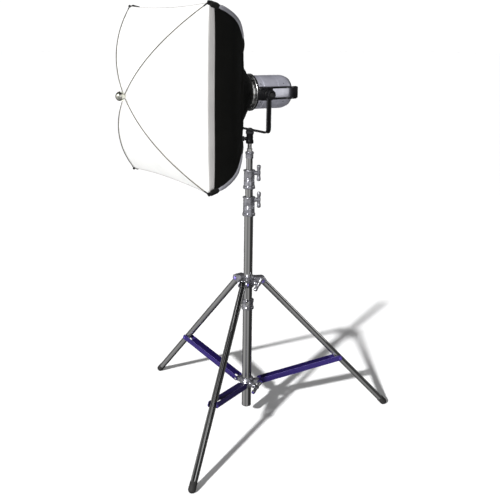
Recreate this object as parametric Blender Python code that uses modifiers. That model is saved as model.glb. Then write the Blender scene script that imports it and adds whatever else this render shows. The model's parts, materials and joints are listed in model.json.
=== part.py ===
"""Studio spotlight with a square dome softbox, in a yoke, on a braced three-leg steel stand.

Metres, +Z up.  The floor is z = 0.  The light faces -Y.  Every piece hangs from one empty on the
column's axis, so the shape functions below work in column coordinates.
"""
import math

import bmesh
import bpy
from mathutils import Matrix, Vector

# ---- where the column stands, so that the whole model's box is centred on the origin
COLUMN_X = 0.1011
COLUMN_Y = -0.0235

# ---- tubes (outer radii of the common 38, 35, 30 and 25 mm stand tubes; the legs are 25 mm too)
BASE_R = 0.0190
BASE_BORE = 0.0178
COLUMN_R = 0.0175
COLUMN_BORE = 0.0160
RISER_1_R = 0.0150
RISER_1_BORE = 0.0135
RISER_2_R = 0.0125
RISER_2_BORE = 0.0110
SPIGOT_R = 0.0080
LEG_R = 0.0125
LEG_BORE = 0.0113
GAP = 0.0003
SIDES = 20

# ---- legs and braces
LEG_AZIMUTHS = (-49.6, 70.4, 190.4)
KNOB_AZIMUTH = 10.4
LEG_LENGTH = 0.794
LEG_SPREAD = math.radians(43.4)
LEG_PIVOT_R = 0.057
FOOT_R = 0.0140
FOOT_Z = 0.0110
CROWN_Z = LEG_LENGTH * math.cos(LEG_SPREAD) + FOOT_Z
BRACE_DOWN_LEG = 0.492
BRACKET_PIVOT_R = 0.050
BRACKET_Z = 0.154
EAR_INNER = LEG_R + 0.0005
EAR_OUTER = EAR_INNER + 0.0050
BRACE_OUTER = EAR_INNER + 0.0045
PIN_R = 0.0040
PIN_HOLE_R = 0.0045
PIN_HEAD_R = 0.0065
BOSS_R = 0.0100
BOSS_END = 0.0500

# ---- heights on the column
BASE_BOTTOM = 0.051
BASE_TOP = 0.488
CLAMP_BOTTOM = 0.470
CLAMP_TOP = 0.512
COLUMN_BOTTOM = 0.060
COLUMN_TOP = 0.900
COLLAR_BOTTOM = 0.851
COLLAR_TOP = 0.926
RISER_1_BOTTOM = 0.075
RISER_1_TOP = 1.005
RISER_COLLAR_BOTTOM = 0.957
RISER_COLLAR_TOP = 1.030
RISER_2_BOTTOM = 0.090
RISER_2_TOP = 1.0915
CAP_TOP = 1.100
SPIGOT_BOTTOM = 1.060
SPIGOT_TOP = 1.164
RECEIVER_BOTTOM = 1.130
BAR_BOTTOM = 1.180
HEAD_Z = 1.320

# ---- yoke and head
YOKE_HALF = 0.1305
YOKE_THICK = 0.005
YOKE_DEPTH = 0.020
YOKE_BEND_R = 0.018
HOUSING_R = 0.0615
HOUSING_REAR = 0.150
RING_Y = -0.034
SPEED_RING_R = 0.0665
PANEL_R = 0.0490
PANEL_REAR = 0.1490
SPINDLE_R = 0.0030
SPINDLE_HOLE_R = 0.0034
KNOB_TALL = 0.013
TILT_SCREW_R = 0.0050
TILT_KNOB_R = 0.0175
GRIP_HALF = 0.0720
GRIP_THICK = 0.0085
GRIP_REAR = 0.186
GRIP_FRONT = 0.1354
FINS = 8
FIN_THICK = 0.0022

# ---- softbox: a 0.60 m square whose four corners lie in one plane
BOX_SIDE = 0.600
CORNER_R = BOX_SIDE / math.sqrt(2)
FRONT_Y = -0.340
DOME = 0.160
HUB_R = 0.016
FABRIC = 0.0012
EDGE_BOW = 0.010
ROD_R = 0.0025
BOW_R = 0.0015
# the back rib, as (distance from the axis, depth behind the corner plane)
RIB = ((0.074, 0.300), (0.106, 0.270), (0.160, 0.229), (0.250, 0.200),
       (0.345, 0.140), (0.398, 0.072), (CORNER_R, 0.0005))
RIB_STATIONS = 10

# frames on the head's axis: local Z runs backwards and local Y down
HEAD = Matrix.Translation((0, 0, HEAD_Z)) @ Matrix.Rotation(math.radians(-90), 4, "X")
FOCUS = Matrix.Translation((-0.0425, 0, 0.006)) @ HEAD
DIMMER = Matrix.Translation((0.0380, 0, 0.006)) @ HEAD


# ---------------------------------------------------------------- scene, materials and small helpers

def clear_scene():
    for old in list(bpy.data.objects):
        bpy.data.objects.remove(old, do_unlink=True)


def new_collection(name):
    collection = bpy.data.collections.new(name)
    bpy.context.scene.collection.children.link(collection)
    return collection


def make_material(name, color, roughness, metallic=0.0):
    material = bpy.data.materials.new(name)
    material.use_nodes = True
    shader = material.node_tree.nodes["Principled BSDF"]
    shader.inputs["Base Color"].default_value = (*color, 1.0)
    shader.inputs["Roughness"].default_value = roughness
    shader.inputs["Metallic"].default_value = metallic
    return material


clear_scene()
PARTS = new_collection("spotlight_on_stand")
CUTTERS = new_collection("cutters")
AXIS = bpy.data.objects.new("column_axis", None)
AXIS.location = (COLUMN_X, COLUMN_Y, 0.0)
PARTS.objects.link(AXIS)

CHROME = make_material("chrome_tube", (0.55, 0.55, 0.56), 0.18, 1.0)
CASTING = make_material("cast_metal", (0.48, 0.48, 0.50), 0.38, 0.9)
BRACE_PAINT = make_material("brace_paint", (0.03, 0.015, 0.16), 0.35, 0.2)
RUBBER = make_material("rubber", (0.03, 0.03, 0.03), 0.8)
BLACK_METAL = make_material("black_metal", (0.012, 0.012, 0.013), 0.45, 0.2)
BLACK_PLASTIC = make_material("black_plastic", (0.02, 0.02, 0.021), 0.5)
SILVER = make_material("silver_housing", (0.50, 0.50, 0.54), 0.35, 0.7)
ALUMINIUM = make_material("aluminium", (0.62, 0.62, 0.64), 0.3, 1.0)
GLASS = make_material("lens_glass", (0.85, 0.9, 0.92), 0.05)
LED = make_material("led_board", (0.75, 0.66, 0.25), 0.5)
BLACK_FABRIC = make_material("black_fabric", (0.012, 0.012, 0.010), 0.85)
WHITE_FABRIC = make_material("white_diffuser", (0.92, 0.92, 0.90), 0.8)


def place(obj, material, matrix=None):
    """Link an object under the column's axis, as a part, or as a cutter when it has no material."""
    if material is None:
        CUTTERS.objects.link(obj)
        obj.hide_render = True
        obj.display_type = "WIRE"
    else:
        PARTS.objects.link(obj)
        obj.data.materials.append(material)
    obj.parent = AXIS
    obj.matrix_basis = matrix or Matrix.Identity(4)
    return obj


def radial(azimuth):
    """A frame with X pointing away from the column at this azimuth, in degrees."""
    return Matrix.Rotation(math.radians(azimuth), 4, "Z")


def outward(azimuth, z):
    """A frame with Z pointing away from the column at this azimuth and height."""
    return Matrix.Translation((0, 0, z)) @ radial(azimuth) @ Matrix.Rotation(math.radians(90), 4, "Y")


def turned(name, profile, material=None, matrix=None, steps=SIDES, closed=False):
    """Turn a profile of (radius, height) points about the local Z axis."""
    mesh = bpy.data.meshes.new(name)
    count = len(profile)
    edges = [(i, i + 1) for i in range(count - 1)]
    if closed:
        edges.append((count - 1, 0))
    mesh.from_pydata([(r, 0.0, z) for r, z in profile], edges, [])
    obj = place(bpy.data.objects.new(name, mesh), material, matrix)
    screw = obj.modifiers.new("turn", "SCREW")
    screw.axis = "Z"
    screw.steps = steps
    screw.render_steps = steps
    screw.use_merge_vertices = True
    screw.merge_threshold = 0.00001
    screw.use_smooth_shade = True
    return obj


def rod_profile(radius, bottom, top):
    return [(0, top), (radius, top), (radius, bottom), (0, bottom)]


def tube_profile(outer, inner, bottom, top):
    return [(outer, top), (outer, bottom), (inner, bottom), (inner, top)]


def rod(name, radius, bottom, top, material=None, matrix=None, steps=16):
    return turned(name, rod_profile(radius, bottom, top), material, matrix, steps)


def box(name, low, high, material=None, matrix=None, bevel=0.0):
    """An axis-aligned box between two corners of its own frame."""
    low = Vector(low)
    high = Vector(high)
    mesh = bpy.data.meshes.new(name)
    work = bmesh.new()
    bmesh.ops.create_cube(work, size=1.0)
    for vert in work.verts:
        vert.co = [c * s + m for c, s, m in zip(vert.co, high - low, (low + high) / 2)]
    work.to_mesh(mesh)
    work.free()
    obj = place(bpy.data.objects.new(name, mesh), material, matrix)
    if bevel:
        rounding = obj.modifiers.new("edges", "BEVEL")
        rounding.width = bevel
        rounding.segments = 2
    return obj


def boolean(obj, tool, operation):
    modifier = obj.modifiers.new(tool.name, "BOOLEAN")
    modifier.operation = operation
    modifier.solver = "EXACT"
    modifier.object = tool
    return obj


def cut(obj, *tools):
    for tool in tools:
        boolean(obj, tool, "DIFFERENCE")
    return obj


def join(obj, *tools):
    for tool in tools:
        boolean(obj, tool, "UNION")
    return obj


def curve_to_mesh(curve_obj):
    """Swap a curve object for a mesh of it, with the caps welded on."""
    bpy.context.view_layer.update()
    graph = bpy.context.evaluated_depsgraph_get()
    mesh = bpy.data.meshes.new_from_object(curve_obj.evaluated_get(graph))
    work = bmesh.new()
    work.from_mesh(mesh)
    bmesh.ops.remove_doubles(work, verts=work.verts, dist=0.00001)
    bmesh.ops.recalc_face_normals(work, faces=work.faces)
    work.to_mesh(mesh)
    work.free()
    name = curve_obj.name
    basis = curve_obj.matrix_basis.copy()
    homes = list(curve_obj.users_collection)
    bpy.data.objects.remove(curve_obj, do_unlink=True)
    obj = bpy.data.objects.new(name, mesh)
    for home in homes:
        home.objects.link(obj)
    obj.parent = AXIS
    obj.matrix_basis = basis
    if CUTTERS in homes:
        obj.hide_render = True
        obj.display_type = "WIRE"
    return obj


def wire(name, points, radius, material=None, matrix=None, resolution=2):
    """A round bar along a list of points."""
    curve = bpy.data.curves.new(name, "CURVE")
    curve.dimensions = "3D"
    curve.bevel_depth = radius
    curve.bevel_resolution = resolution
    curve.use_fill_caps = True
    spline = curve.splines.new("POLY")
    spline.points.add(len(points) - 1)
    for point, place_at in zip(spline.points, points):
        point.co = (*place_at, 1.0)
    return curve_to_mesh(place(bpy.data.objects.new(name, curve), material, matrix))


def plate(name, outline, thickness, material=None, matrix=None, hole=None):
    """A flat closed outline in local XY, with an optional hole, thickened equally to both sides."""
    curve = bpy.data.curves.new(name, "CURVE")
    curve.dimensions = "2D"
    curve.fill_mode = "BOTH"
    curve.extrude = thickness / 2
    for loop in (outline, hole):
        if loop:
            spline = curve.splines.new("POLY")
            spline.points.add(len(loop) - 1)
            for point, (x, y) in zip(spline.points, loop):
                point.co = (x, y, 0.0, 1.0)
            spline.use_cyclic_u = True
    return curve_to_mesh(place(bpy.data.objects.new(name, curve), material, matrix))


def arc(centre, radius, start, end, count):
    """Points on an arc, with the angles in degrees."""
    angles = [math.radians(start + (end - start) * i / (count - 1)) for i in range(count)]
    return [(centre[0] + radius * math.cos(a), centre[1] + radius * math.sin(a)) for a in angles]


# ---------------------------------------------------------------------------------- stand

def make_tubes():
    turned("base_tube", tube_profile(BASE_R, BASE_BORE, BASE_BOTTOM, BASE_TOP), CHROME, closed=True)
    turned("column_tube", tube_profile(COLUMN_R, COLUMN_BORE, COLUMN_BOTTOM, COLUMN_TOP), CHROME,
           closed=True)
    turned("riser_1_tube", tube_profile(RISER_1_R, RISER_1_BORE, RISER_1_BOTTOM, RISER_1_TOP), CHROME,
           closed=True)
    turned("riser_2_tube", tube_profile(RISER_2_R, RISER_2_BORE, RISER_2_BOTTOM, RISER_2_TOP), CHROME,
           closed=True)


def make_collar(name, bottom, step, top, lower_r, upper_r, body_r, azimuth):
    """A cast collar on a tube's top end, which guides and clamps the next tube."""
    middle = bottom + 0.55 * (top - bottom)
    outer = [(body_r, top), (body_r, top - 0.005), (body_r - 0.002, top - 0.007),
             (body_r - 0.002, middle), (body_r + 0.0013, bottom + 0.008),
             (body_r + 0.0013, bottom)]
    bore = [(lower_r + GAP, bottom), (lower_r + GAP, step + GAP), (upper_r + GAP, step + GAP),
            (upper_r + GAP, top)]
    collar = turned(name, outer + bore, CASTING, closed=True)
    side = outward(azimuth, top - 0.012)
    join(collar, rod(name + "_boss", 0.0085, body_r - 0.005, body_r + 0.003, matrix=side))
    cut(collar, rod(name + "_screw_hole", PIN_HOLE_R, 0.010, body_r + 0.010, matrix=side, steps=12))


def make_t_knob(name, azimuth, z, tip, boss, lean):
    """A T-shaped clamp knob on a radial screw, its bar leaning from the horizontal by some degrees."""
    frame = outward(azimuth, z) @ Matrix.Rotation(math.radians(lean), 4, "Z")
    base = boss + 0.0005
    bar = box(name, (-0.0070, -0.031, base + 0.0055), (0.0070, 0.031, base + 0.0185), CASTING, frame,
              bevel=0.003)
    shaft = [(0, base + 0.012), (0.0080, base + 0.012), (0.0080, base), (PIN_R, base), (PIN_R, tip),
             (0, tip)]
    join(bar, turned(name + "_screw", shaft, matrix=frame, steps=12))


def make_crown():
    low = CROWN_Z - 0.020
    high = CROWN_Z + 0.018
    bore = COLUMN_R + GAP
    hub = [(bore, high + 0.004), (0.0225, high + 0.004), (0.0275, high - 0.003),
           (0.0275, low + 0.004), (0.0220, low - 0.006), (bore, low - 0.006)]
    crown = turned("crown", hub, CASTING, closed=True)
    for number, azimuth in enumerate(LEG_AZIMUTHS, 1):
        frame = radial(azimuth) @ Matrix.Translation((0, 0, CROWN_Z)) @ Matrix.Rotation(
            math.radians(90), 4, "X")
        nose = arc((LEG_PIVOT_R, 0.0015), 0.0150, -60, 90, 7)
        outline = [(0.021, -0.014), (0.046, -0.014), *nose, (0.021, 0.0165)]
        join(crown, plate(f"crown_arm_{number}", outline, 2 * EAR_OUTER, matrix=frame))
    for number, azimuth in enumerate(LEG_AZIMUTHS, 1):
        frame = radial(azimuth) @ Matrix.Translation((0, 0, CROWN_Z))
        cut(crown, box(f"crown_slot_{number}", (0.034, -EAR_INNER, -0.03), (0.09, EAR_INNER, 0.0135),
                       matrix=frame))
        pin = Matrix.Translation((LEG_PIVOT_R, 0, 0)) @ Matrix.Rotation(math.radians(90), 4, "X")
        cut(crown, rod(f"crown_pin_hole_{number}", PIN_HOLE_R, -0.03, 0.03, matrix=frame @ pin, steps=12))
        end = EAR_OUTER + 0.003
        seat = EAR_OUTER + GAP
        half = [(0, end), (PIN_HEAD_R - 0.001, end), (PIN_HEAD_R, end - 0.0008), (PIN_HEAD_R, seat),
                (PIN_R, seat)]
        spool = half + [(r, -z) for r, z in reversed(half)]
        turned(f"leg_pin_{number}", spool, BLACK_METAL, frame @ pin, 12)
    side = outward(KNOB_AZIMUTH, CROWN_Z)
    join(crown, rod("crown_boss", BOSS_R, 0.020, BOSS_END, matrix=side))
    cut(crown, rod("crown_screw_hole", PIN_HOLE_R, 0.010, 0.060, matrix=side, steps=12))
    make_t_knob("crown_knob", KNOB_AZIMUTH, CROWN_Z, COLUMN_R + 0.0006, BOSS_END, 50)


def make_leg(number, azimuth):
    """A leg tube with a domed top at its pivot, and the rubber cap on its foot."""
    frame = (radial(azimuth) @ Matrix.Translation((LEG_PIVOT_R, 0, CROWN_Z))
             @ Matrix.Rotation(-LEG_SPREAD, 4, "Y"))
    dome = arc((0, 0), LEG_R, 90, 0, 5)
    dome[0] = (0, LEG_R)
    end = -LEG_LENGTH + 0.0005
    profile = dome + [(LEG_R, end), (LEG_BORE, end), (LEG_BORE, -0.024), (0, -0.020)]
    leg = turned(f"leg_{number}", profile, CHROME, frame, 20)
    across = frame @ Matrix.Rotation(math.radians(90), 4, "X")
    cut(leg, rod(f"leg_hole_{number}", PIN_HOLE_R, -0.02, 0.02, matrix=across, steps=12))
    sleeve_top = -LEG_LENGTH + 0.026
    tip = [(FOOT_R * math.cos(math.radians(a)), -LEG_LENGTH - FOOT_R * math.sin(math.radians(a)))
           for a in (0, 22.5, 45, 67.5)]
    cup = [(0, -LEG_LENGTH), (LEG_R + GAP, -LEG_LENGTH), (LEG_R + GAP, sleeve_top),
           (FOOT_R - 0.0008, sleeve_top), (FOOT_R, sleeve_top - 0.0015), *tip,
           (0, -LEG_LENGTH - FOOT_R)]
    foot = turned(f"foot_cap_{number}", cup, RUBBER, frame, 20)
    reach = LEG_PIVOT_R + LEG_LENGTH * math.sin(LEG_SPREAD)
    cut(foot, box(f"floor_{number}", (reach - 0.05, -0.05, -0.05), (reach + 0.05, 0.05, 0.0),
                  matrix=radial(azimuth)))


def make_bracket():
    low = BRACKET_Z - 0.018
    high = BRACKET_Z + 0.018
    bore = BASE_R + GAP
    hub = [(bore, high + 0.004), (0.0230, high + 0.004), (0.0275, high - 0.002),
           (0.0275, low + 0.002), (0.0230, low - 0.004), (bore, low - 0.004)]
    bracket = turned("lower_bracket", hub, CASTING, closed=True)
    half = EAR_INNER - 0.0005
    for number, azimuth in enumerate(LEG_AZIMUTHS, 1):
        frame = radial(azimuth) @ Matrix.Translation((0, 0, BRACKET_Z)) @ Matrix.Rotation(
            math.radians(90), 4, "X")
        outline = [(0.021, -0.009), *arc((BRACKET_PIVOT_R, 0), 0.0090, -90, 90, 6), (0.021, 0.009)]
        join(bracket, plate(f"bracket_lug_{number}", outline, 2 * half, matrix=frame))
        pin = frame @ Matrix.Translation((BRACKET_PIVOT_R, 0, 0)) @ Matrix.Rotation(0.1, 4, "Z")
        near = BRACE_OUTER + GAP
        far = BRACE_OUTER + 0.003
        spool = [(0, far), (PIN_HEAD_R, far), (PIN_HEAD_R, near), (PIN_R, near), (PIN_R, -near),
                 (PIN_HEAD_R, -near), (PIN_HEAD_R, -far), (0, -far)]
        join(bracket, turned(f"bracket_pin_{number}", spool, matrix=pin, steps=12))
    side = outward(KNOB_AZIMUTH, BRACKET_Z - 0.004)
    join(bracket, rod("bracket_boss", BOSS_R, 0.022, BOSS_END, matrix=side))
    cut(bracket, rod("bracket_screw_hole", PIN_HOLE_R, 0.010, 0.060, matrix=side, steps=12))
    make_t_knob("bracket_knob", KNOB_AZIMUTH, BRACKET_Z - 0.004, BASE_R + 0.0006, BOSS_END, 40)


def make_brace(number, azimuth):
    """A channel with its web on top.  Past the web its two rails straddle the leg."""
    pivot = Vector((BRACKET_PIVOT_R, 0, BRACKET_Z))
    far = Vector((LEG_PIVOT_R + BRACE_DOWN_LEG * math.sin(LEG_SPREAD), 0,
                  CROWN_Z - BRACE_DOWN_LEG * math.cos(LEG_SPREAD)))
    length = (far - pivot).length
    rise = math.atan2(far.z - pivot.z, far.x - pivot.x)
    frame = radial(azimuth) @ Matrix.Translation(pivot) @ Matrix.Rotation(-rise, 4, "Y")
    side_view = frame @ Matrix.Rotation(math.radians(90), 4, "X")
    outline = [(0.0, -0.0075), *arc((length, 0), 0.0075, -90, 0, 4), (length + 0.0075, 0.008),
               (length + 0.002, 0.0150), (0.012, 0.0150), (-0.0075, 0.008),
               *arc((0, 0), 0.0075, 180, 240, 3)]
    hole = arc((0, 0), PIN_HOLE_R, 0, 330, 12)
    offset = (EAR_INNER + BRACE_OUTER) / 2
    rails = [plate(name, outline, BRACE_OUTER - EAR_INNER, paint,
                   side_view @ Matrix.Translation((0, 0, shift)), hole)
             for name, paint, shift in ((f"brace_{number}", BRACE_PAINT, -offset),
                                        (f"brace_rail_{number}", None, offset))]
    web = box(f"brace_web_{number}", (0.026, -offset, 0.0126), (length - 0.104, offset, 0.0148),
              matrix=frame)
    join(rails[0], rails[1], web)
    rivets = side_view @ Matrix.Translation((length, 0, 0)) @ Matrix.Rotation(0.1, 4, "Z")
    for side in (-1, 1):
        ends = sorted((side * (BRACE_OUTER - 0.002), side * (BRACE_OUTER + 0.003)))
        join(rails[0], rod(f"brace_rivet_{number}_{side}", 0.0060, *ends, matrix=rivets, steps=12))


def make_base_clamp():
    profile = [(0.0250, CLAMP_TOP), (0.0250, CLAMP_TOP - 0.012), (0.0235, CLAMP_TOP - 0.014),
               (0.0235, CLAMP_BOTTOM + 0.010), (0.0250, CLAMP_BOTTOM + 0.008), (0.0250, CLAMP_BOTTOM),
               (BASE_R + GAP, CLAMP_BOTTOM), (BASE_R + GAP, BASE_TOP + GAP),
               (COLUMN_R + GAP, BASE_TOP + GAP), (COLUMN_R + GAP, CLAMP_TOP)]
    clamp = turned("base_clamp", profile, CASTING, closed=True)
    side = outward(-32, (CLAMP_TOP + BASE_TOP) / 2)
    join(clamp, rod("base_clamp_boss", 0.0085, 0.020, 0.0300, matrix=side))
    cut(clamp, rod("base_clamp_hole", PIN_HOLE_R, 0.010, 0.040, matrix=side, steps=12))
    screw = [(0, 0.0355), (0.0060, 0.0355), (0.0068, 0.0345), (0.0068, 0.0303), (PIN_R, 0.0303),
             (PIN_R, COLUMN_R + 0.0006), (0, COLUMN_R + 0.0006)]
    turned("base_clamp_screw", screw, BLACK_METAL, side, 6)


def make_risers():
    make_collar("column_collar", COLLAR_BOTTOM, COLUMN_TOP, COLLAR_TOP, COLUMN_R, RISER_1_R, 0.0225, 58)
    make_t_knob("column_knob", 58, COLLAR_TOP - 0.012, RISER_1_R + 0.0006, 0.0255, 90)
    make_collar("riser_1_collar", RISER_COLLAR_BOTTOM, RISER_1_TOP, RISER_COLLAR_TOP, RISER_1_R,
                RISER_2_R, 0.0205, 58)
    make_t_knob("riser_1_knob", 58, RISER_COLLAR_TOP - 0.012, RISER_2_R + 0.0006, 0.0235, 90)
    cap = [(SPIGOT_R + GAP + 0.0002, CAP_TOP), (0.0165, CAP_TOP), (0.0165, CAP_TOP - 0.008),
           (0.0148, CAP_TOP - 0.010), (0.0148, 1.074), (RISER_2_R + GAP, 1.074),
           (RISER_2_R + GAP, RISER_2_TOP + GAP), (SPIGOT_R + GAP + 0.0002, RISER_2_TOP + GAP)]
    turned("top_cap", cap, CASTING, closed=True)
    stud = [(0, SPIGOT_TOP), (SPIGOT_R - 0.0015, SPIGOT_TOP), (SPIGOT_R, SPIGOT_TOP - 0.0015),
            (SPIGOT_R, 1.152), (0.0062, 1.149), (0.0062, 1.138), (SPIGOT_R, 1.135),
            (SPIGOT_R, SPIGOT_BOTTOM), (0, SPIGOT_BOTTOM)]
    turned("spigot", stud, ALUMINIUM)


# ---------------------------------------------------------------------------------- yoke

def make_yoke():
    top = BAR_BOTTOM - GAP
    body = [(0, top), (0.0150, top), (0.0150, top - 0.014), (0.0128, top - 0.017),
            (0.0128, RECEIVER_BOTTOM + 0.012), (0.0145, RECEIVER_BOTTOM + 0.010),
            (0.0145, RECEIVER_BOTTOM), (0, RECEIVER_BOTTOM)]
    receiver = turned("receiver", body, BLACK_METAL)
    side = outward(-122, 1.148)
    join(receiver, rod("receiver_boss", 0.0070, 0.008, 0.0185, matrix=side, steps=12))
    cut(receiver, rod("receiver_bore", SPIGOT_R + 0.0004, 1.10, SPIGOT_TOP + 0.002, steps=SIDES),
        rod("receiver_screw_hole", PIN_HOLE_R, 0.004, 0.030, matrix=side, steps=12))
    knob = [(0, 0.0330), (0.0075, 0.0330), (0.0095, 0.0310), (0.0095, 0.0225), (0.0070, 0.0190),
            (PIN_R, 0.0190), (PIN_R, 0.0089), (0, 0.0089)]
    turned("receiver_knob", knob, BLACK_PLASTIC, side, 16)

    inner = YOKE_HALF - YOKE_THICK
    bend = YOKE_BEND_R
    corner = (YOKE_HALF - bend, BAR_BOTTOM + bend)
    right_out = arc(corner, bend, -90, 0, 6)
    right_in = arc(corner, bend - YOKE_THICK, 0, -90, 6)
    outline = ([(-x, z) for x, z in reversed(right_out)] + right_out
               + [(YOKE_HALF, HEAD_Z), (inner, HEAD_Z)] + right_in
               + [(-x, z) for x, z in reversed(right_in)] + [(-inner, HEAD_Z), (-YOKE_HALF, HEAD_Z)])
    frame = Matrix.Rotation(math.radians(90), 4, "X")
    yoke = plate("yoke", outline, YOKE_DEPTH, BLACK_METAL, frame)
    for side in (-1, 1):
        across = Matrix.Translation((0, 0, HEAD_Z)) @ Matrix.Rotation(math.radians(90), 4, "Y")
        ends = sorted((side * inner, side * YOKE_HALF))
        join(yoke, rod(f"yoke_eye_{side}", 0.0160, *ends, matrix=across, steps=20))
        cut(yoke, rod(f"yoke_hole_{side}", 0.0057, *sorted((side * 0.11, side * 0.14)), matrix=across,
                      steps=16))


# ---------------------------------------------------------------------------------- head

def make_housing():
    """Two half shells of one turned barrel, closed in at the rear edge."""
    front = 0.0005
    edge = 0.030
    outer = [(HOUSING_R - 0.006 * (1 - math.cos(math.radians(a))) / 0.5,
              HOUSING_REAR - edge + edge * math.sin(math.radians(a))) for a in (60, 45, 30, 15, 0)]
    rear = [(outer[0][0] - 0.0015, HOUSING_REAR)]
    wall = 0.0020
    inner = [(HOUSING_R - wall, front), (HOUSING_R - wall, HOUSING_REAR - edge)]
    inner += [(outer[0][0] - wall, outer[0][1] - 0.001), (outer[0][0] - wall, HOUSING_REAR)]
    profile = rear + outer + [(HOUSING_R, front)] + inner
    for name, low, high in (("housing_top", 0.00015, 0.1), ("housing_bottom", -0.1, -0.00015)):
        shell = turned(name, profile, SILVER, HEAD, 32, closed=True)
        half = box(name + "_half", (-0.1, -0.05, HEAD_Z + low), (0.1, 0.2, HEAD_Z + high))
        boolean(shell, half, "INTERSECT")


def make_side_block(name, side):
    """The trunnion block beside the housing, with two rails that run back to the grip."""
    flip = Matrix.Translation((0, 0, HEAD_Z))
    if side < 0:
        flip = flip @ Matrix.Rotation(math.radians(180), 4, "Y")
    block = box(name, (0.050, -0.010, -0.024), (0.094, 0.040, 0.024), BLACK_PLASTIC, flip, bevel=0.003)
    for level in (-1, 1):
        rail = sorted((level * 0.0165, level * 0.0235))
        join(block, box(f"{name}_rail_{level}", (0.052, 0.030, rail[0]), (0.0715, 0.1350, rail[1]),
                        matrix=flip))
    across = flip @ Matrix.Rotation(math.radians(90), 4, "Y")
    join(block, rod(name + "_boss", 0.0200, 0.085, YOKE_HALF - YOKE_THICK - 0.001, matrix=across, steps=24))
    seat = [(0, 0.20), (HOUSING_R + GAP, 0.20), (HOUSING_R + GAP, 0.0), (SPEED_RING_R + 0.0008, 0.0),
            (SPEED_RING_R + 0.0008, -0.05), (0, -0.05)]
    cut(block, turned(name + "_seat", seat, None, HEAD, 32),
        rod(name + "_screw_hole", 0.0055, 0.100, 0.140, matrix=across, steps=16))
    outer = YOKE_HALF + 0.0010
    knob = [(0, outer + 0.0175), (TILT_KNOB_R - 0.003, outer + 0.0175), (TILT_KNOB_R, outer + 0.0145),
            (TILT_KNOB_R, outer + 0.0040), (TILT_KNOB_R - 0.003, outer), (TILT_SCREW_R, outer),
            (TILT_SCREW_R, 0.1010), (0, 0.1010)]
    label = "right" if side > 0 else "left"
    turned("tilt_knob_" + label, knob, BLACK_PLASTIC, across, 16)


def make_grip():
    """A flat bar that wraps round behind the housing, from the rails of one side to the other's."""
    bend = 0.044
    corner = (GRIP_HALF - bend, GRIP_REAR - bend)
    inner = GRIP_HALF - GRIP_THICK
    out = arc(corner, bend, 0, 90, 8)
    inside = arc(corner, bend - GRIP_THICK, 90, 0, 8)
    outline = ([(GRIP_HALF, GRIP_FRONT)] + out + [(-x, y) for x, y in reversed(out)]
               + [(-GRIP_HALF, GRIP_FRONT), (-inner, GRIP_FRONT)]
               + [(-x, y) for x, y in reversed(inside)] + inside + [(inner, GRIP_FRONT)])
    plate("rear_grip", outline, 0.047, BLACK_PLASTIC, Matrix.Translation((0, 0, HEAD_Z)))


def make_rear():
    """Rear panel with its vents and controls, and the fan's post on its inner face."""
    profile = [(0, PANEL_REAR), (PANEL_R, PANEL_REAR), (PANEL_R, 0.1452), (0.0035, 0.1452),
               (0.0035, 0.1220), (0, 0.1220)]
    panel = turned("rear_panel", profile, BLACK_PLASTIC, HEAD, 24)
    for row in range(3):
        level = HEAD_Z + 0.014 + 0.009 * row
        cut(panel, box(f"vent_{row}", (-0.022, 0.140, level), (0.022, 0.155, level + 0.0035)))
    cut(panel, rod("focus_hole", SPINDLE_HOLE_R, 0.130, 0.160, matrix=FOCUS, steps=12),
        rod("dimmer_hole", SPINDLE_HOLE_R, 0.130, 0.160, matrix=DIMMER, steps=12))
    cut(panel, box("switch_hole", (-0.0300, 0.140, HEAD_Z - 0.033), (-0.0120, 0.155, HEAD_Z - 0.021)),
        box("inlet_hole", (0.0070, 0.140, HEAD_Z - 0.0365), (0.0290, 0.155, HEAD_Z - 0.0205)))
    face = PANEL_REAR + 0.0005
    for name, frame, tip, size in (("focus_knob", FOCUS, 0.018, 0.0080),
                                   ("dimmer_knob", DIMMER, 0.1425, 0.0090)):
        profile = [(0, face + KNOB_TALL), (size - 0.001, face + KNOB_TALL), (size, face + KNOB_TALL - 0.001),
                   (size, face), (SPINDLE_R, face), (SPINDLE_R, tip), (0, tip)]
        turned(name, profile, BLACK_PLASTIC, frame, 16)
    box("power_switch", (-0.0295, 0.1425, HEAD_Z - 0.0320), (-0.0125, 0.1515, HEAD_Z - 0.0220),
        BLACK_PLASTIC, bevel=0.0008)
    inlet = box("power_inlet", (0.0073, 0.1384, HEAD_Z - 0.0362), (0.0287, 0.1510, HEAD_Z - 0.0208),
                BLACK_PLASTIC, bevel=0.001)
    cut(inlet, box("inlet_socket", (0.0100, 0.1400, HEAD_Z - 0.0335), (0.0260, 0.1600, HEAD_Z - 0.0235)))


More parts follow.
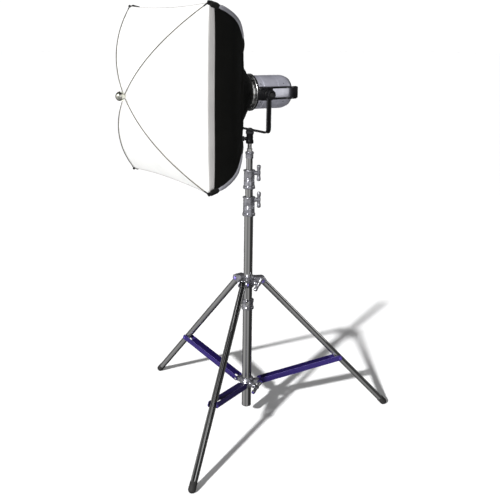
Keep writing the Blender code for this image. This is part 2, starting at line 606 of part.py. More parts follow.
def make_optics():
    ring = [(0.0613, -0.0005), (0.0613, -0.0038), (0.0560, -0.0038), (0.0560, -0.0315),
            (0.0505, -0.0315), (0.0505, -0.0005)]
    turned("mount_ring", ring, ALUMINIUM, HEAD, 32, closed=True)
    # the lens: flat behind, five steps in front, each the outer part of a thicker dome
    step_r = 0.0100
    valley = -0.0165
    crest = -0.0200
    lens = [(0, -0.012), (0.0500, -0.012), (0.0500, valley)]
    for step in range(4, 0, -1):
        lens += [(step * step_r, crest), (step * step_r, valley)]
    lens.append((0, crest))
    turned("fresnel_lens", lens, GLASS, HEAD, 24)

    disc = turned("led_module", [(0, 0.0460), (0.0520, 0.0460), (0.0520, 0.0420), (0.0120, 0.0420),
                                 (0.0120, 0.0400), (0, 0.0400)], LED, HEAD, 32)
    cut(disc, rod("carriage_hole", 0.0035, 0.02, 0.06, matrix=FOCUS, steps=12))
    half = 0.028
    root = 0.0520
    tip = 0.086
    pitch = 2 * half / FINS
    outline = [(-half, 0.0464), (half, 0.0464)]
    for fin in range(FINS):
        right = half - fin * pitch
        left = right - FIN_THICK
        outline += [(right, tip), (left, tip)]
        if fin < FINS - 1:
            outline += [(left, root), (right - pitch, root)]
    outline.append((-half, root))
    plate("heat_sink", outline, 0.052, ALUMINIUM, Matrix.Translation((0, 0, HEAD_Z)))

    rotor = turned("fan_rotor", tube_profile(0.0130, 0.0039, 0.1240, 0.1400), BLACK_PLASTIC, HEAD, 20,
                   closed=True)
    for blade in range(5):
        turn = Matrix.Rotation(math.radians(72 * blade), 4, "Z")
        tilt = Matrix.Rotation(math.radians(35), 4, "X")
        frame = HEAD @ turn @ Matrix.Translation((0, 0, 0.1320)) @ tilt
        join(rotor, box(f"blade_{blade}", (0.0110, -0.0085, -0.0008), (0.0350, 0.0085, 0.0008),
                        matrix=frame))


# ---------------------------------------------------------------------------------- softbox

def spline_point(points, t):
    """A Catmull-Rom curve through the points, with t from 0 to 1."""
    spans = len(points) - 1
    index = min(int(t * spans), spans - 1)
    u = t * spans - index
    p1 = Vector(points[index])
    p2 = Vector(points[index + 1])
    p0 = Vector(points[index - 1]) if index else 2 * p1 - p2
    p3 = Vector(points[index + 2]) if index + 2 <= spans else 2 * p2 - p1
    return (p1 + 0.5 * u * (p2 - p0) + u * u * (p0 - 2.5 * p1 + 2 * p2 - 0.5 * p3)
            + u * u * u * (1.5 * (p1 - p2) + 0.5 * (p3 - p0)))


def section(reach, across, roundness, bow):
    """A point on one side of the box's cross-section, across in -1..1 between its two corners."""
    flat = Vector((across * reach / math.sqrt(2), reach / math.sqrt(2) - bow * (1 - across * across)))
    angle = math.radians(45) * across
    circle = Vector((reach * math.sin(angle), reach * math.cos(angle)))
    return flat.lerp(circle, roundness)


def rib_stations():
    return [spline_point(RIB, i / (RIB_STATIONS - 1)) for i in range(RIB_STATIONS)]


def loft(name, rows, thickness, material, matrix, cyclic=False, tip=None):
    """Skin rows of points with quads, close it at a tip point if given, and thicken it inwards."""
    mesh = bpy.data.meshes.new(name)
    verts = [point for row in rows for point in row]
    width = len(rows[0])
    faces = []
    for r in range(len(rows) - 1):
        for c in range(width if cyclic else width - 1):
            d = (c + 1) % width
            faces.append((r * width + c, r * width + d, (r + 1) * width + d, (r + 1) * width + c))
    if tip is not None:
        verts.append(tip)
        last = (len(rows) - 1) * width
        faces += [(last + c, last + (c + 1) % width, len(verts) - 1) for c in range(width)]
    mesh.from_pydata(verts, [], faces)
    obj = place(bpy.data.objects.new(name, mesh), material, matrix)
    skin = obj.modifiers.new("cloth", "SOLIDIFY")
    skin.thickness = thickness
    skin.offset = -1.0
    skin.use_even_offset = True
    return obj


def make_shell_panels():
    """Four black panels, each from the ring's circle to one straight side of the front square."""
    spread = [c / 3 - 1 for c in range(7)]
    rows = []
    for reach, depth in rib_stations():
        roundness = min(max((depth - 0.19) / 0.09, 0.0), 1.0)
        bow = EDGE_BOW * (1 - roundness)
        trim = 1 - 0.0012 / reach
        row = [section(reach, c * trim, roundness, bow) for c in spread]
        rows.append([(p.x, FRONT_Y + depth, p.y) for p in row])
    for name, turn in (("shell_top", 0), ("shell_right", 90), ("shell_bottom", 180), ("shell_left", 270)):
        frame = Matrix.Translation((0, 0, HEAD_Z)) @ Matrix.Rotation(math.radians(turn), 4, "Y")
        loft(name, rows, FABRIC, BLACK_FABRIC, frame)


def make_diffuser():
    """The white front: four bowed facets that rise to the hub."""
    rings = 6
    spread = [c / 3 - 1 for c in range(6)]
    rows = []
    for ring in range(rings):
        s = 1 - ring / rings
        reach = (CORNER_R - 0.0002) * s
        depth = DOME * (1 - s * s)
        row = []
        for turn in range(4):
            spin = Matrix.Rotation(math.radians(90 * turn), 2)
            for c in spread:
                flat = section(reach, -c, 0.0, EDGE_BOW * s)
                point = spin @ flat
                row.append((point.x, FRONT_Y - 0.0006 - depth, point.y))
        rows.append(row)
    tip = (0.0, FRONT_Y - 0.0006 - DOME, 0.0)
    loft("front_diffuser", rows, 0.0008, WHITE_FABRIC, Matrix.Translation((0, 0, HEAD_Z)), True, tip)


def diagonal(reach, y, corner):
    """The point at this distance from the head's axis, on one of the four diagonals."""
    angle = math.radians(45 + 90 * corner)
    return (reach * math.cos(angle), y, reach * math.sin(angle))


def make_rods():
    """Four back rods inside the seams, and four front bows that meet in the hub."""
    stations = rib_stations()
    inset = 0.0068
    back = []
    for before, here, after in zip([stations[0], *stations], stations, [*stations[1:], stations[-1]]):
        along = (after - before).normalized()
        back.append((here.x - inset * abs(along.y), FRONT_Y + here.y - inset * abs(along.x)))
    back[0] = (0.0665, RING_Y - 0.0038)
    back[-1] = (CORNER_R - 0.0085, FRONT_Y + 0.0045)
    head = Matrix.Translation((0, 0, HEAD_Z))
    for corner in range(4):
        wire(f"back_rod_{corner + 1}", [diagonal(r, y, corner) for r, y in back], ROD_R, ALUMINIUM, head)
    front = []
    for step in range(8):
        s = 1.003 - step * 0.97 / 7
        slope = 2 * DOME * s / CORNER_R
        lift = 0.0034 / math.hypot(1, slope)
        front.append((CORNER_R * s + lift * slope, FRONT_Y - DOME * (1 - s * s) - lift))
    front.append((0.0, FRONT_Y - DOME - 0.0150))
    hub_mesh = bpy.data.meshes.new("front_bows")
    work = bmesh.new()
    bmesh.ops.create_uvsphere(work, u_segments=16, v_segments=8, radius=HUB_R)
    work.to_mesh(hub_mesh)
    work.free()
    at_hub = Matrix.Translation((0, FRONT_Y - DOME - 0.018, HEAD_Z)) @ Matrix.Rotation(
        math.radians(90), 4, "X")
    hub = place(bpy.data.objects.new("front_bows", hub_mesh), ALUMINIUM, at_hub)
    for corner in range(4):
        points = [diagonal(r, y, corner) for r, y in front]
        join(hub, wire(f"front_bow_{corner + 1}", points, BOW_R, None, head, resolution=1))


def make_speed_ring():
    profile = [(0.0650, -0.0045), (SPEED_RING_R, -0.0060), (SPEED_RING_R, -0.0160), (0.0645, -0.0180),
               (0.0645, RING_Y), (0.0565, RING_Y), (0.0565, -0.0045)]
    ring = turned("speed_ring", profile, BLACK_METAL, HEAD, 32, closed=True)
    for corner in range(4):
        frame = (Matrix.Translation((0, 0, HEAD_Z))
                 @ Matrix.Rotation(math.radians(-45 - 90 * corner), 4, "Y"))
        join(ring, box(f"rod_socket_{corner}", (0.0600, RING_Y, -0.0065), (0.0735, -0.0190, 0.0065),
                       matrix=frame))


# ---------------------------------------------------------------------------------- assembly

make_tubes()
make_crown()
for leg_number, leg_azimuth in enumerate(LEG_AZIMUTHS, 1):
    make_leg(leg_number, leg_azimuth)
    make_brace(leg_number, leg_azimuth)
make_bracket()
make_base_clamp()
make_risers()
make_yoke()
make_housing()
make_side_block("side_block_right", 1)
make_side_block("side_block_left", -1)
make_grip()
make_rear()
make_optics()
make_speed_ring()
make_shell_panels()
make_diffuser()
make_rods()
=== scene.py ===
"""The visual model of a studio spotlight with a square softbox on a braced stand.

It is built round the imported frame, in metres, +Z up.  The light faces -Y.
"""
import json
import math

import bmesh
import bpy
from mathutils import Matrix, Vector, noise

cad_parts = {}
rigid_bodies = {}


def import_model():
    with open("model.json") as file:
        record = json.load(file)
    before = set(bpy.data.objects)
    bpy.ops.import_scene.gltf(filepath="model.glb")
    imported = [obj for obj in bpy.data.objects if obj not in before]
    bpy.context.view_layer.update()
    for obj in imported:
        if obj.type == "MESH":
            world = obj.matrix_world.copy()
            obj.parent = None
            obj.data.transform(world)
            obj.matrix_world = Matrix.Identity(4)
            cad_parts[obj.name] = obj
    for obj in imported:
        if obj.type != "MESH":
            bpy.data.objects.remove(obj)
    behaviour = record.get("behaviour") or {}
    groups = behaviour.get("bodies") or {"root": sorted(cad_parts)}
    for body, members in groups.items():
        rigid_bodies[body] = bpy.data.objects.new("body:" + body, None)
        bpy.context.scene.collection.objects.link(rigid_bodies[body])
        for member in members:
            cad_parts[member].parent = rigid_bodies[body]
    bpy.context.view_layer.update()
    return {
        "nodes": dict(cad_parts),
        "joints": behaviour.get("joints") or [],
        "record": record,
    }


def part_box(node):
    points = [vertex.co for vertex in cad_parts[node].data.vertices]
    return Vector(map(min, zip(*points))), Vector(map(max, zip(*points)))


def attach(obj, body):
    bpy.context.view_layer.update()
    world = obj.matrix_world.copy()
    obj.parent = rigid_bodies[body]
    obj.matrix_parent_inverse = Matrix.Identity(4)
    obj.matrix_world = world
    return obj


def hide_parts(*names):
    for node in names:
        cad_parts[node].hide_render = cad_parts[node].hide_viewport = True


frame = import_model()
NODES = frame["nodes"]
RECORD = frame["record"]
JOINTS = {joint["name"]: joint for joint in frame["joints"]}
MOUNTS = {mount["name"]: mount for mount in RECORD["mounts"]}


# ------------------------------------------------------------------------------ places and frames

COLUMN = Vector((*JOINTS["yoke_pan"]["pos_m"][:2], 0.0))
HEAD = Vector(JOINTS["head_tilt"]["pos_m"])
UP = Matrix.Translation(COLUMN)
AT_HEAD = Matrix.Translation(HEAD)
AXIAL = AT_HEAD @ Matrix.Rotation(math.radians(-90), 4, "X")
LEGS = (1, 2, 3)
LEG_END = 0.0110            # height of a leg tube's centre where it enters its rubber foot
BRACE_DOWN_LEG = 0.492      # from a leg's pivot to its brace's outer pin
SIDES = ((1, "right"), (-1, "left"))


def low(node, axis):
    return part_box(node)[0][axis]


def high(node, axis):
    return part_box(node)[1][axis]


def radius(node):
    """The outer radius of a node that is round about an upright axis."""
    corner_low, corner_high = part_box(node)
    return (corner_high.y - corner_low.y) / 2


def turn(degrees, axis):
    return Matrix.Rotation(math.radians(degrees), 4, axis)


def at(x, y, z):
    return Matrix.Translation((x, y, z))


def polar(reach, degrees):
    """The two coordinates of a point at this distance and angle."""
    angle = math.radians(degrees)
    return reach * math.cos(angle), reach * math.sin(angle)


def outward(azimuth, z):
    """A frame on the column's axis whose Z points away from it at this azimuth, in degrees."""
    return UP @ at(0, 0, z) @ turn(azimuth, "Z") @ turn(90, "Y")


def azimuth_of(joint):
    """The direction in which a joint's own axis points, in degrees about the column."""
    x, y, _ = JOINTS[joint]["axis"]
    return math.degrees(math.atan2(y, x))


def leg_frame(number):
    """A frame at a leg's pivot: -Z runs down the leg and Y along the pin."""
    pivot = Vector(JOINTS[f"leg_{number}_fold"]["pos_m"])
    foot = Vector(MOUNTS[f"foot_{number}"]["pos_m"])
    away = pivot - COLUMN
    bearing = math.degrees(math.atan2(away.y, away.x))
    run = (foot - pivot).to_2d().length
    spread = math.degrees(math.atan2(run, pivot.z - LEG_END))
    length = math.hypot(run, pivot.z - LEG_END)
    return Matrix.Translation(pivot) @ turn(bearing, "Z") @ turn(-spread, "Y"), length


def brace_frame(number):
    """A frame at a brace's inner pivot with X along the brace and Y along the pin, and its length."""
    pivot = Vector(JOINTS[f"brace_{number}_fold"]["pos_m"])
    leg, _ = leg_frame(number)
    far = leg @ Vector((0, 0, -BRACE_DOWN_LEG))
    along = far - pivot
    bearing = math.degrees(math.atan2(along.y, along.x))
    rise = math.degrees(math.atan2(along.z, along.to_2d().length))
    return Matrix.Translation(pivot) @ turn(bearing, "Z") @ turn(-rise, "Y"), along.length


# ------------------------------------------------------------------------------ materials

def link_noise(tree, coords, scale, detail=3.0, stretch=(1, 1, 1)):
    """A noise texture's factor on stretched coordinates."""
    mapping = tree.nodes.new("ShaderNodeMapping")
    mapping.inputs["Scale"].default_value = stretch
    texture = tree.nodes.new("ShaderNodeTexNoise")
    texture.inputs["Scale"].default_value = scale
    texture.inputs["Detail"].default_value = detail
    tree.links.new(coords, mapping.inputs["Vector"])
    tree.links.new(mapping.outputs["Vector"], texture.inputs["Vector"])
    return texture.outputs["Fac"]


def remap(tree, value, low_in, high_in, low_out, high_out):
    """Stretch a value from one range to another, held within it."""
    node = tree.nodes.new("ShaderNodeMapRange")
    for socket, number in zip(("From Min", "From Max", "To Min", "To Max"),
                              (low_in, high_in, low_out, high_out)):
        node.inputs[socket].default_value = number
    tree.links.new(value, node.inputs["Value"])
    return node.outputs["Result"]


def blend_colors(tree, factor, first, second):
    """Mix two colours, each a tuple or a socket, by a factor socket."""
    node = tree.nodes.new("ShaderNodeMix")
    node.data_type = "RGBA"
    tree.links.new(factor, node.inputs["Factor"])
    for socket, color in ((node.inputs[6], first), (node.inputs[7], second)):
        if isinstance(color, tuple):
            socket.default_value = (*color, 1.0)
        else:
            tree.links.new(color, socket)
    return node.outputs[2]


def bump(tree, height, strength, distance, below=None):
    """A bump normal from a height, on top of another bump where one is given."""
    node = tree.nodes.new("ShaderNodeBump")
    node.inputs["Strength"].default_value = strength
    node.inputs["Distance"].default_value = distance
    tree.links.new(height, node.inputs["Height"])
    if below is not None:
        tree.links.new(below, node.inputs["Normal"])
    return node.outputs["Normal"]


def calculate(tree, operation, first, *others):
    """A math node on a socket and further sockets or numbers."""
    node = tree.nodes.new("ShaderNodeMath")
    node.operation = operation
    for place, value in enumerate((first, *others)):
        if isinstance(value, float):
            node.inputs[place].default_value = value
        else:
            tree.links.new(value, node.inputs[place])
    return node.outputs["Value"]


def bands(tree, coords, direction, pitch, distortion=0.0):
    """Waves across one direction of the UVs, which are in metres, one every pitch."""
    wave = tree.nodes.new("ShaderNodeTexWave")
    wave.bands_direction = direction
    wave.inputs["Scale"].default_value = math.tau / (20.0 * pitch)
    wave.inputs["Distortion"].default_value = distortion
    tree.links.new(coords.outputs["UV"], wave.inputs["Vector"])
    return wave.outputs["Fac"]


def start_material(name):
    material = bpy.data.materials.new(name)
    material.use_nodes = True
    tree = material.node_tree
    coords = tree.nodes.new("ShaderNodeTexCoord")
    return material, tree, tree.nodes["Principled BSDF"], coords


def hard_surface(name, light, dark, roughness, swing=0.08, metallic=0.0, grain=220.0, patch=7.0,
                 stretch=(1, 1, 1), depth=0.00006, wear=None, coat=0.0, specular=0.5):
    """Metal, paint or plastic: patchy tone, a grained finish and, where asked, worn edges."""
    material, tree, shader, coords = start_material(name)
    place = coords.outputs["Object"]
    patches = link_noise(tree, place, patch, 4.0, stretch)
    tone = blend_colors(tree, remap(tree, patches, 0.3, 0.7, 0.0, 1.0), dark, light)
    if wear is not None:
        geometry = tree.nodes.new("ShaderNodeNewGeometry")
        edges = remap(tree, geometry.outputs["Pointiness"], 0.53, 0.60, 0.0, 0.6)
        tone = blend_colors(tree, edges, tone, wear)
    tree.links.new(tone, shader.inputs["Base Color"])
    grains = link_noise(tree, place, grain, 5.0, stretch)
    tree.links.new(remap(tree, patches, 0.25, 0.75, roughness - swing, roughness + swing),
                   shader.inputs["Roughness"])
    tree.links.new(bump(tree, grains, 0.5, depth), shader.inputs["Normal"])
    shader.inputs["Metallic"].default_value = metallic
    shader.inputs["Coat Weight"].default_value = coat
    shader.inputs["Coat Roughness"].default_value = 0.12
    shader.inputs["Specular IOR Level"].default_value = specular
    return material


def woven(name, light, dark, roughness, pitch, sheen, ripstop=0.0, depth=0.00012, painted_glow=0.0):
    """Cloth woven along its own UVs, which are in metres, with faint creases as bumps and as painted shade in
    its tone, and painted shade between the threads.
    """
    material, tree, shader, coords = start_material(name)
    weave = calculate(tree, "MULTIPLY", *[bands(tree, coords, axis, pitch, 0.4) for axis in "XY"])
    creases = link_noise(tree, coords.outputs["Object"], 9.0, 5.0)
    normal = bump(tree, weave, 0.6, depth)
    normal = bump(tree, creases, 0.35, 0.004, normal)
    if ripstop:
        for axis in "XY":
            ridge = remap(tree, bands(tree, coords, axis, ripstop), 0.93, 1.0, 0.0, 1.0)
            normal = bump(tree, ridge, 0.6, 0.0002, normal)
    tree.links.new(normal, shader.inputs["Normal"])
    # Painted shade: the tone is darker in the hollows of the creases, and darker still between the threads.
    shade = blend_colors(tree, remap(tree, creases, 0.3, 0.7, 0.0, 1.0), dark, light)
    between = remap(tree, weave, 0.0, 1.0, 0.25, 0.0)
    tree.links.new(blend_colors(tree, between, shade, dark), shader.inputs["Base Color"])
    shader.inputs["Roughness"].default_value = roughness
    shader.inputs["Sheen Weight"].default_value = sheen
    shader.inputs["Specular IOR Level"].default_value = 0.12
    # Painted glow: the cloth gives off a little light of its own, though it is no lamp.
    if painted_glow:
        shader.inputs["Emission Color"].default_value = (1.0, 0.985, 0.955, 1.0)
        shader.inputs["Emission Strength"].default_value = painted_glow
    return material


def glass(name, color):
    material, tree, shader, coords = start_material(name)
    ripples = link_noise(tree, coords.outputs["Object"], 60.0)
    tree.links.new(remap(tree, ripples, 0.0, 1.0, 0.02, 0.07), shader.inputs["Roughness"])
    shader.inputs["Base Color"].default_value = (*color, 1.0)
    shader.inputs["Transmission Weight"].default_value = 1.0
    shader.inputs["IOR"].default_value = 1.49
    return material


STEEL = hard_surface("polished_steel", (0.60, 0.60, 0.60), (0.50, 0.50, 0.505), 0.075, 0.02, 1.0, 40.0,
                     5.0, (1, 1, 0.08), 0.0)
CHROME = hard_surface("bright_chrome", (0.80, 0.80, 0.74), (0.66, 0.66, 0.58), 0.08, 0.03, 1.0, 300.0,
                      20.0, depth=0.00001)
CASTING = hard_surface("cast_alloy", (0.44, 0.44, 0.475), (0.24, 0.24, 0.27), 0.26, 0.08, 0.88, 260.0,
                       60.0, depth=0.00007, wear=(0.86, 0.86, 0.88))
PURPLE = hard_surface("purple_enamel", (0.0036, 0.0009, 0.036), (0.0022, 0.0006, 0.024), 0.42, 0.08, 0.0,
                      500.0, 14.0, depth=0.00003, wear=(0.04, 0.028, 0.14), specular=0.06)
VIOLET = hard_surface("violet_anodised", (0.085, 0.055, 0.34), (0.05, 0.03, 0.22), 0.36, 0.06, 0.5, 700.0,
                      40.0, depth=0.00002, wear=(0.42, 0.36, 0.80))
RUBBER = hard_surface("moulded_rubber", (0.020, 0.019, 0.019), (0.010, 0.010, 0.010), 0.70, 0.10, 0.0,
                      600.0, 50.0, depth=0.0001, specular=0.25)
POWDER = hard_surface("black_powder_coat", (0.0035, 0.0035, 0.004), (0.002, 0.002, 0.0024), 0.40, 0.08, 0.0,
                      900.0, 30.0, depth=0.00005, wear=(0.03, 0.03, 0.033), specular=0.14)
PLASTIC = hard_surface("black_moulding", (0.0040, 0.0040, 0.0046), (0.0022, 0.0022, 0.0026), 0.46, 0.08, 0.0,
                       1500.0, 25.0, depth=0.00004, wear=(0.022, 0.022, 0.025), specular=0.12)
SILVER = hard_surface("silver_paint", (0.46, 0.46, 0.53), (0.36, 0.36, 0.42), 0.38, 0.06, 0.55, 2200.0,
                      16.0, depth=0.00002, coat=0.2)
PALE_SILVER = hard_surface("pale_silver_panel", (0.66, 0.66, 0.73), (0.56, 0.56, 0.63), 0.40, 0.05, 0.35,
                           2200.0, 30.0, depth=0.00002, coat=0.15)
ALLOY = hard_surface("turned_alloy", (0.74, 0.74, 0.74), (0.50, 0.50, 0.50), 0.28, 0.08, 1.0, 300.0, 45.0,
                     (1, 0.15, 1), 0.00004)
WIRE = hard_surface("spring_wire", (0.085, 0.075, 0.055), (0.05, 0.045, 0.035), 0.40, 0.06, 0.3, 400.0, 30.0,
                    depth=0.00001)
BRASS = hard_surface("contact_brass", (0.62, 0.45, 0.18), (0.50, 0.35, 0.13), 0.30, 0.05, 1.0, 500.0, 40.0)
LED_FACE = hard_surface("phosphor", (0.85, 0.66, 0.10), (0.75, 0.55, 0.07), 0.45, 0.05, 0.0, 500.0, 40.0)
GLASS = glass("moulded_glass", (0.90, 0.94, 0.95))
SHELL_CLOTH = woven("black_shell_cloth", (0.0024, 0.0025, 0.0015), (0.0012, 0.0013, 0.0008), 0.75, 0.0007,
                    0.006, 0.006)
# The white front cloth has a faint painted glow.
FRONT_CLOTH = woven("white_front_cloth", (0.70, 0.70, 0.69), (0.63, 0.63, 0.62), 0.85, 0.0006, 0.05,
                    painted_glow=0.03)
# The tape cloth is the white front cloth painted a little darker: painted shade on the tapes and the hub
# patch.
SHADED_TAPE_CLOTH = woven("white_tape_cloth_painted_shade", (0.53, 0.53, 0.52), (0.47, 0.47, 0.46), 0.85, 0.0006, 0.05)
# The lip and the front piping are white cloth painted grey: painted shade where the cloth wraps back from the
# front.
SHADED_LIP_CLOTH = woven("lip_cloth_painted_grey_shade", (0.40, 0.39, 0.384), (0.33, 0.322, 0.317), 0.80, 0.0006, 0.05)
SLEEVE_CLOTH = woven("silver_sleeve_cloth", (0.25, 0.25, 0.275), (0.16, 0.16, 0.18), 0.55, 0.0008, 0.1)
WEBBING = woven("black_webbing", (0.007, 0.007, 0.006), (0.003, 0.003, 0.003), 0.75, 0.0014, 0.03,
                depth=0.0003)
THREAD = hard_surface("thread", (0.05, 0.05, 0.05), (0.02, 0.02, 0.02), 0.7, 0.05, 0.0, 900.0, 60.0)
PALE_THREAD = hard_surface("pale_thread", (0.36, 0.355, 0.34), (0.28, 0.275, 0.265), 0.7, 0.05, 0.0, 900.0)


# ------------------------------------------------------------------------------ making pieces

def add(name, mesh, material, body, nodes=(), place=None, sharp=35.0):
    """Make an object of a mesh, shade it, and let it ride on a body."""
    obj = bpy.data.objects.new(name, mesh)
    bpy.context.scene.collection.objects.link(obj)
    if place is not None:
        mesh.transform(place)
    mesh.materials.append(material)
    mesh.shade_smooth()
    mesh.set_sharp_from_angle(angle=math.radians(sharp))
    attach(obj, body)
    if nodes:
        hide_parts(*nodes)
    return obj


def mesh_of(name, verts, faces):
    """A mesh with its faces turned outwards."""
    mesh = bpy.data.meshes.new(name)
    mesh.from_pydata([tuple(vert) for vert in verts], [], faces)
    work = bmesh.new()
    work.from_mesh(mesh)
    bmesh.ops.recalc_face_normals(work, faces=work.faces)
    work.to_mesh(mesh)
    work.free()
    return mesh


def lofted(name, rings):
    """A closed mesh through rings of points, each with the same number of points."""
    count = len(rings[0])
    last = (len(rings) - 1) * count
    faces = [(r * count + s, r * count + (s + 1) % count, (r + 1) * count + (s + 1) % count,
              (r + 1) * count + s) for r in range(len(rings) - 1) for s in range(count)]
    faces += [list(range(count)), list(range(last, last + count))]
    return mesh_of(name, [point for ring in rings for point in ring], faces)


def turned_mesh(name, profile, steps=64, ribs=0, rib_depth=0.0, rib_from=0.0, start=0.0, sweep=360.0):
    """Turn (radius, height) points about Z.  A profile that never meets the axis closes on itself."""
    whole = sweep >= 360.0
    count = steps if whole else steps + 1
    verts = []
    rings = []
    for r, z in profile:
        if r < 1e-6:
            rings.append([len(verts)])
            verts.append((0.0, 0.0, z))
            continue
        ring = []
        for step in range(count):
            angle = math.radians(start + sweep * step / steps)
            wave = rib_depth * (0.5 - 0.5 * math.cos(ribs * angle)) if r > rib_from else 0.0
            ring.append(len(verts))
            verts.append(((r - wave) * math.cos(angle), (r - wave) * math.sin(angle), z))
        rings.append(ring)
    pairs = list(zip(rings, rings[1:]))
    if len(rings[0]) > 1 and len(rings[-1]) > 1:
        pairs.append((rings[-1], rings[0]))
    faces = []
    for one, other in pairs:
        for step in range(steps):
            after = (step + 1) % count
            if len(one) == 1:
                faces.append((one[0], other[step], other[after]))
            elif len(other) == 1:
                faces.append((one[step], other[0], one[after]))
            else:
                faces.append((one[step], other[step], other[after], one[after]))
    if not whole:
        faces.append([ring[0] for ring in rings])
        faces.append([ring[-1] for ring in rings])
    return mesh_of(name, verts, faces)


def turned(name, profile, place, material, slot, body, nodes=(), sharp=35.0, **shape):
    return add(name, turned_mesh(name, profile, **shape), material, body, nodes, place, sharp)


def rounded(profile, radius, segments=3):
    """Round the inner corners of an open profile with short arcs."""
    points = [Vector(point) for point in profile]
    out = [points[0]]
    for before, here, after in zip(points, points[1:], points[2:]):
        reach = min(radius, (here - before).length * 0.45, (after - here).length * 0.45)
        first = here + (before - here).normalized() * reach
        last = here + (after - here).normalized() * reach
        for step in range(segments + 1):
            t = step / segments
            out.append(first * (1 - t) ** 2 + here * 2 * t * (1 - t) + last * t ** 2)
    out.append(points[-1])
    return [tuple(point) for point in out]


def block_mesh(name, corner_low, corner_high, bevel=0.001):
    corner_low = Vector(corner_low)
    corner_high = Vector(corner_high)
    work = bmesh.new()
    bmesh.ops.create_cube(work, size=1.0)
    for vert in work.verts:
        vert.co = [c * s + m for c, s, m in zip(vert.co, corner_high - corner_low,
                                                (corner_low + corner_high) / 2)]
    if bevel:
        bmesh.ops.bevel(work, geom=work.edges[:], offset=bevel, segments=3, affect="EDGES", profile=0.5)
    mesh = bpy.data.meshes.new(name)
    work.to_mesh(mesh)
    work.free()
    return mesh


def block(name, corner_low, corner_high, place, material, body, bevel=0.001):
    return add(name, block_mesh(name, corner_low, corner_high, bevel), material, body, (), place)


def prism_mesh(name, outline, bottom, top):
    """A flat outline in XY, thickened from bottom to top."""
    return lofted(name, [[(x, y, z) for x, y in outline] for z in (bottom, top)])


def arc(centre, radius, start, end, count):
    """Points along an arc, from one angle to another in degrees."""
    angles = [math.radians(start + (end - start) * step / (count - 1)) for step in range(count)]
    return [(centre[0] + radius * math.cos(a), centre[1] + radius * math.sin(a)) for a in angles]


def wire(name, points, thickness, material, body):
    """A round wire through points, as a curve with thickness as its radius."""
    curve = bpy.data.curves.new(name, "CURVE")
    curve.dimensions = "3D"
    curve.bevel_depth = thickness
    curve.bevel_resolution = 3
    curve.use_fill_caps = True
    spline = curve.splines.new("POLY")
    spline.points.add(len(points) - 1)
    for point, place_at in zip(spline.points, points):
        point.co = (*place_at, 1.0)
    curve.materials.append(material)
    obj = bpy.data.objects.new(name, curve)
    bpy.context.scene.collection.objects.link(obj)
    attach(obj, body)
    return obj


def boolean(obj, mesh, operation):
    """Cut, join or cross an object with a mesh, and keep the result as plain mesh."""
    tool = bpy.data.objects.new("tool", mesh)
    bpy.context.scene.collection.objects.link(tool)
    modifier = obj.modifiers.new("boolean", "BOOLEAN")
    modifier.operation = operation
    modifier.object = tool
    bpy.context.view_layer.update()
    graph = bpy.context.evaluated_depsgraph_get()
    result = bpy.data.meshes.new_from_object(obj.evaluated_get(graph))
    obj.modifiers.clear()
    obj.data = result
    bpy.data.objects.remove(tool)
    return obj


def cad_copy(node):
    """A welded copy of a CAD node's mesh."""
    mesh = NODES[node].data.copy()
    mesh.materials.clear()
    work = bmesh.new()
    work.from_mesh(mesh)
    bmesh.ops.remove_doubles(work, verts=work.verts, dist=0.00001)
    bmesh.ops.dissolve_limit(work, angle_limit=math.radians(2), verts=work.verts, edges=work.edges)
    work.to_mesh(mesh)
    work.free()
    return mesh


def softened(name, node, material, body, bevel):
    """A CAD node's own shape with rounded edges."""
    obj = add(name, cad_copy(node), material, body, (node,))
    edges = obj.modifiers.new("edges", "BEVEL")
    edges.width = bevel
    edges.segments = 3
    edges.limit_method = "ANGLE"
    edges.angle_limit = math.radians(40)
    edges.harden_normals = True
    return obj


def cast(name, node, material, body):
    """A CAD node's shape with the filleted edges of a casting."""
    obj = add(name, cad_copy(node), material, body, (node,), sharp=180.0)
    remesh = obj.modifiers.new("remesh", "REMESH")
    remesh.mode = "VOXEL"
    remesh.voxel_size = 0.0009
    remesh.use_smooth_shade = True
    smooth = obj.modifiers.new("fillets", "SMOOTH")
    smooth.factor = 0.5
    smooth.iterations = 5
    fewer = obj.modifiers.new("fewer", "DECIMATE")
    fewer.ratio = 0.45
    return obj


def screw(name, place, head_radius, head_height, material, body):
    """A button-headed screw with a hexagon socket, its head standing on local z = 0."""
    socket = head_radius * 0.5
    dome = [(head_radius * math.sin(math.radians(a)), head_height * math.cos(math.radians(a)))
            for a in (32, 45, 60, 75, 90)]
    profile = [(0, head_height * 0.3), (socket, head_height * 0.3), (socket, head_height * 0.85), *dome,
               (head_radius, -0.0003), (0, -0.0003)]
    mesh = turned_mesh(name, profile, steps=24)
    for vert in mesh.vertices:
        if 0 < vert.co.to_2d().length < socket * 1.01:
            side = math.degrees(math.atan2(vert.co.y, vert.co.x)) % 60 - 30
            vert.co.xy *= math.cos(math.radians(30)) / math.cos(math.radians(side))
    return add(name, mesh, material, body, (), place)


def hexagon(name, profile, place, material, body, nodes=()):
    """Turn a profile into a six-sided piece."""
    return add(name, turned_mesh(name, profile, steps=6), material, body, nodes, place, 20.0)


# ------------------------------------------------------------------------------ stand: tubes and collars

def make_tube(node, body):
    """A drawn tube with rounded rims."""
    outer = radius(node)
    bottom = low(node, 2)
    top = high(node, 2)
    wall = 0.0014
    rim = 0.0004
    profile = [(outer - wall, top), (outer - rim, top), (outer, top - rim), (outer, bottom + rim),
               (outer - rim, bottom), (outer - wall, bottom)]
    turned(f"{node}_drawn", profile, UP, STEEL, "chrome_tube", body, (node,))


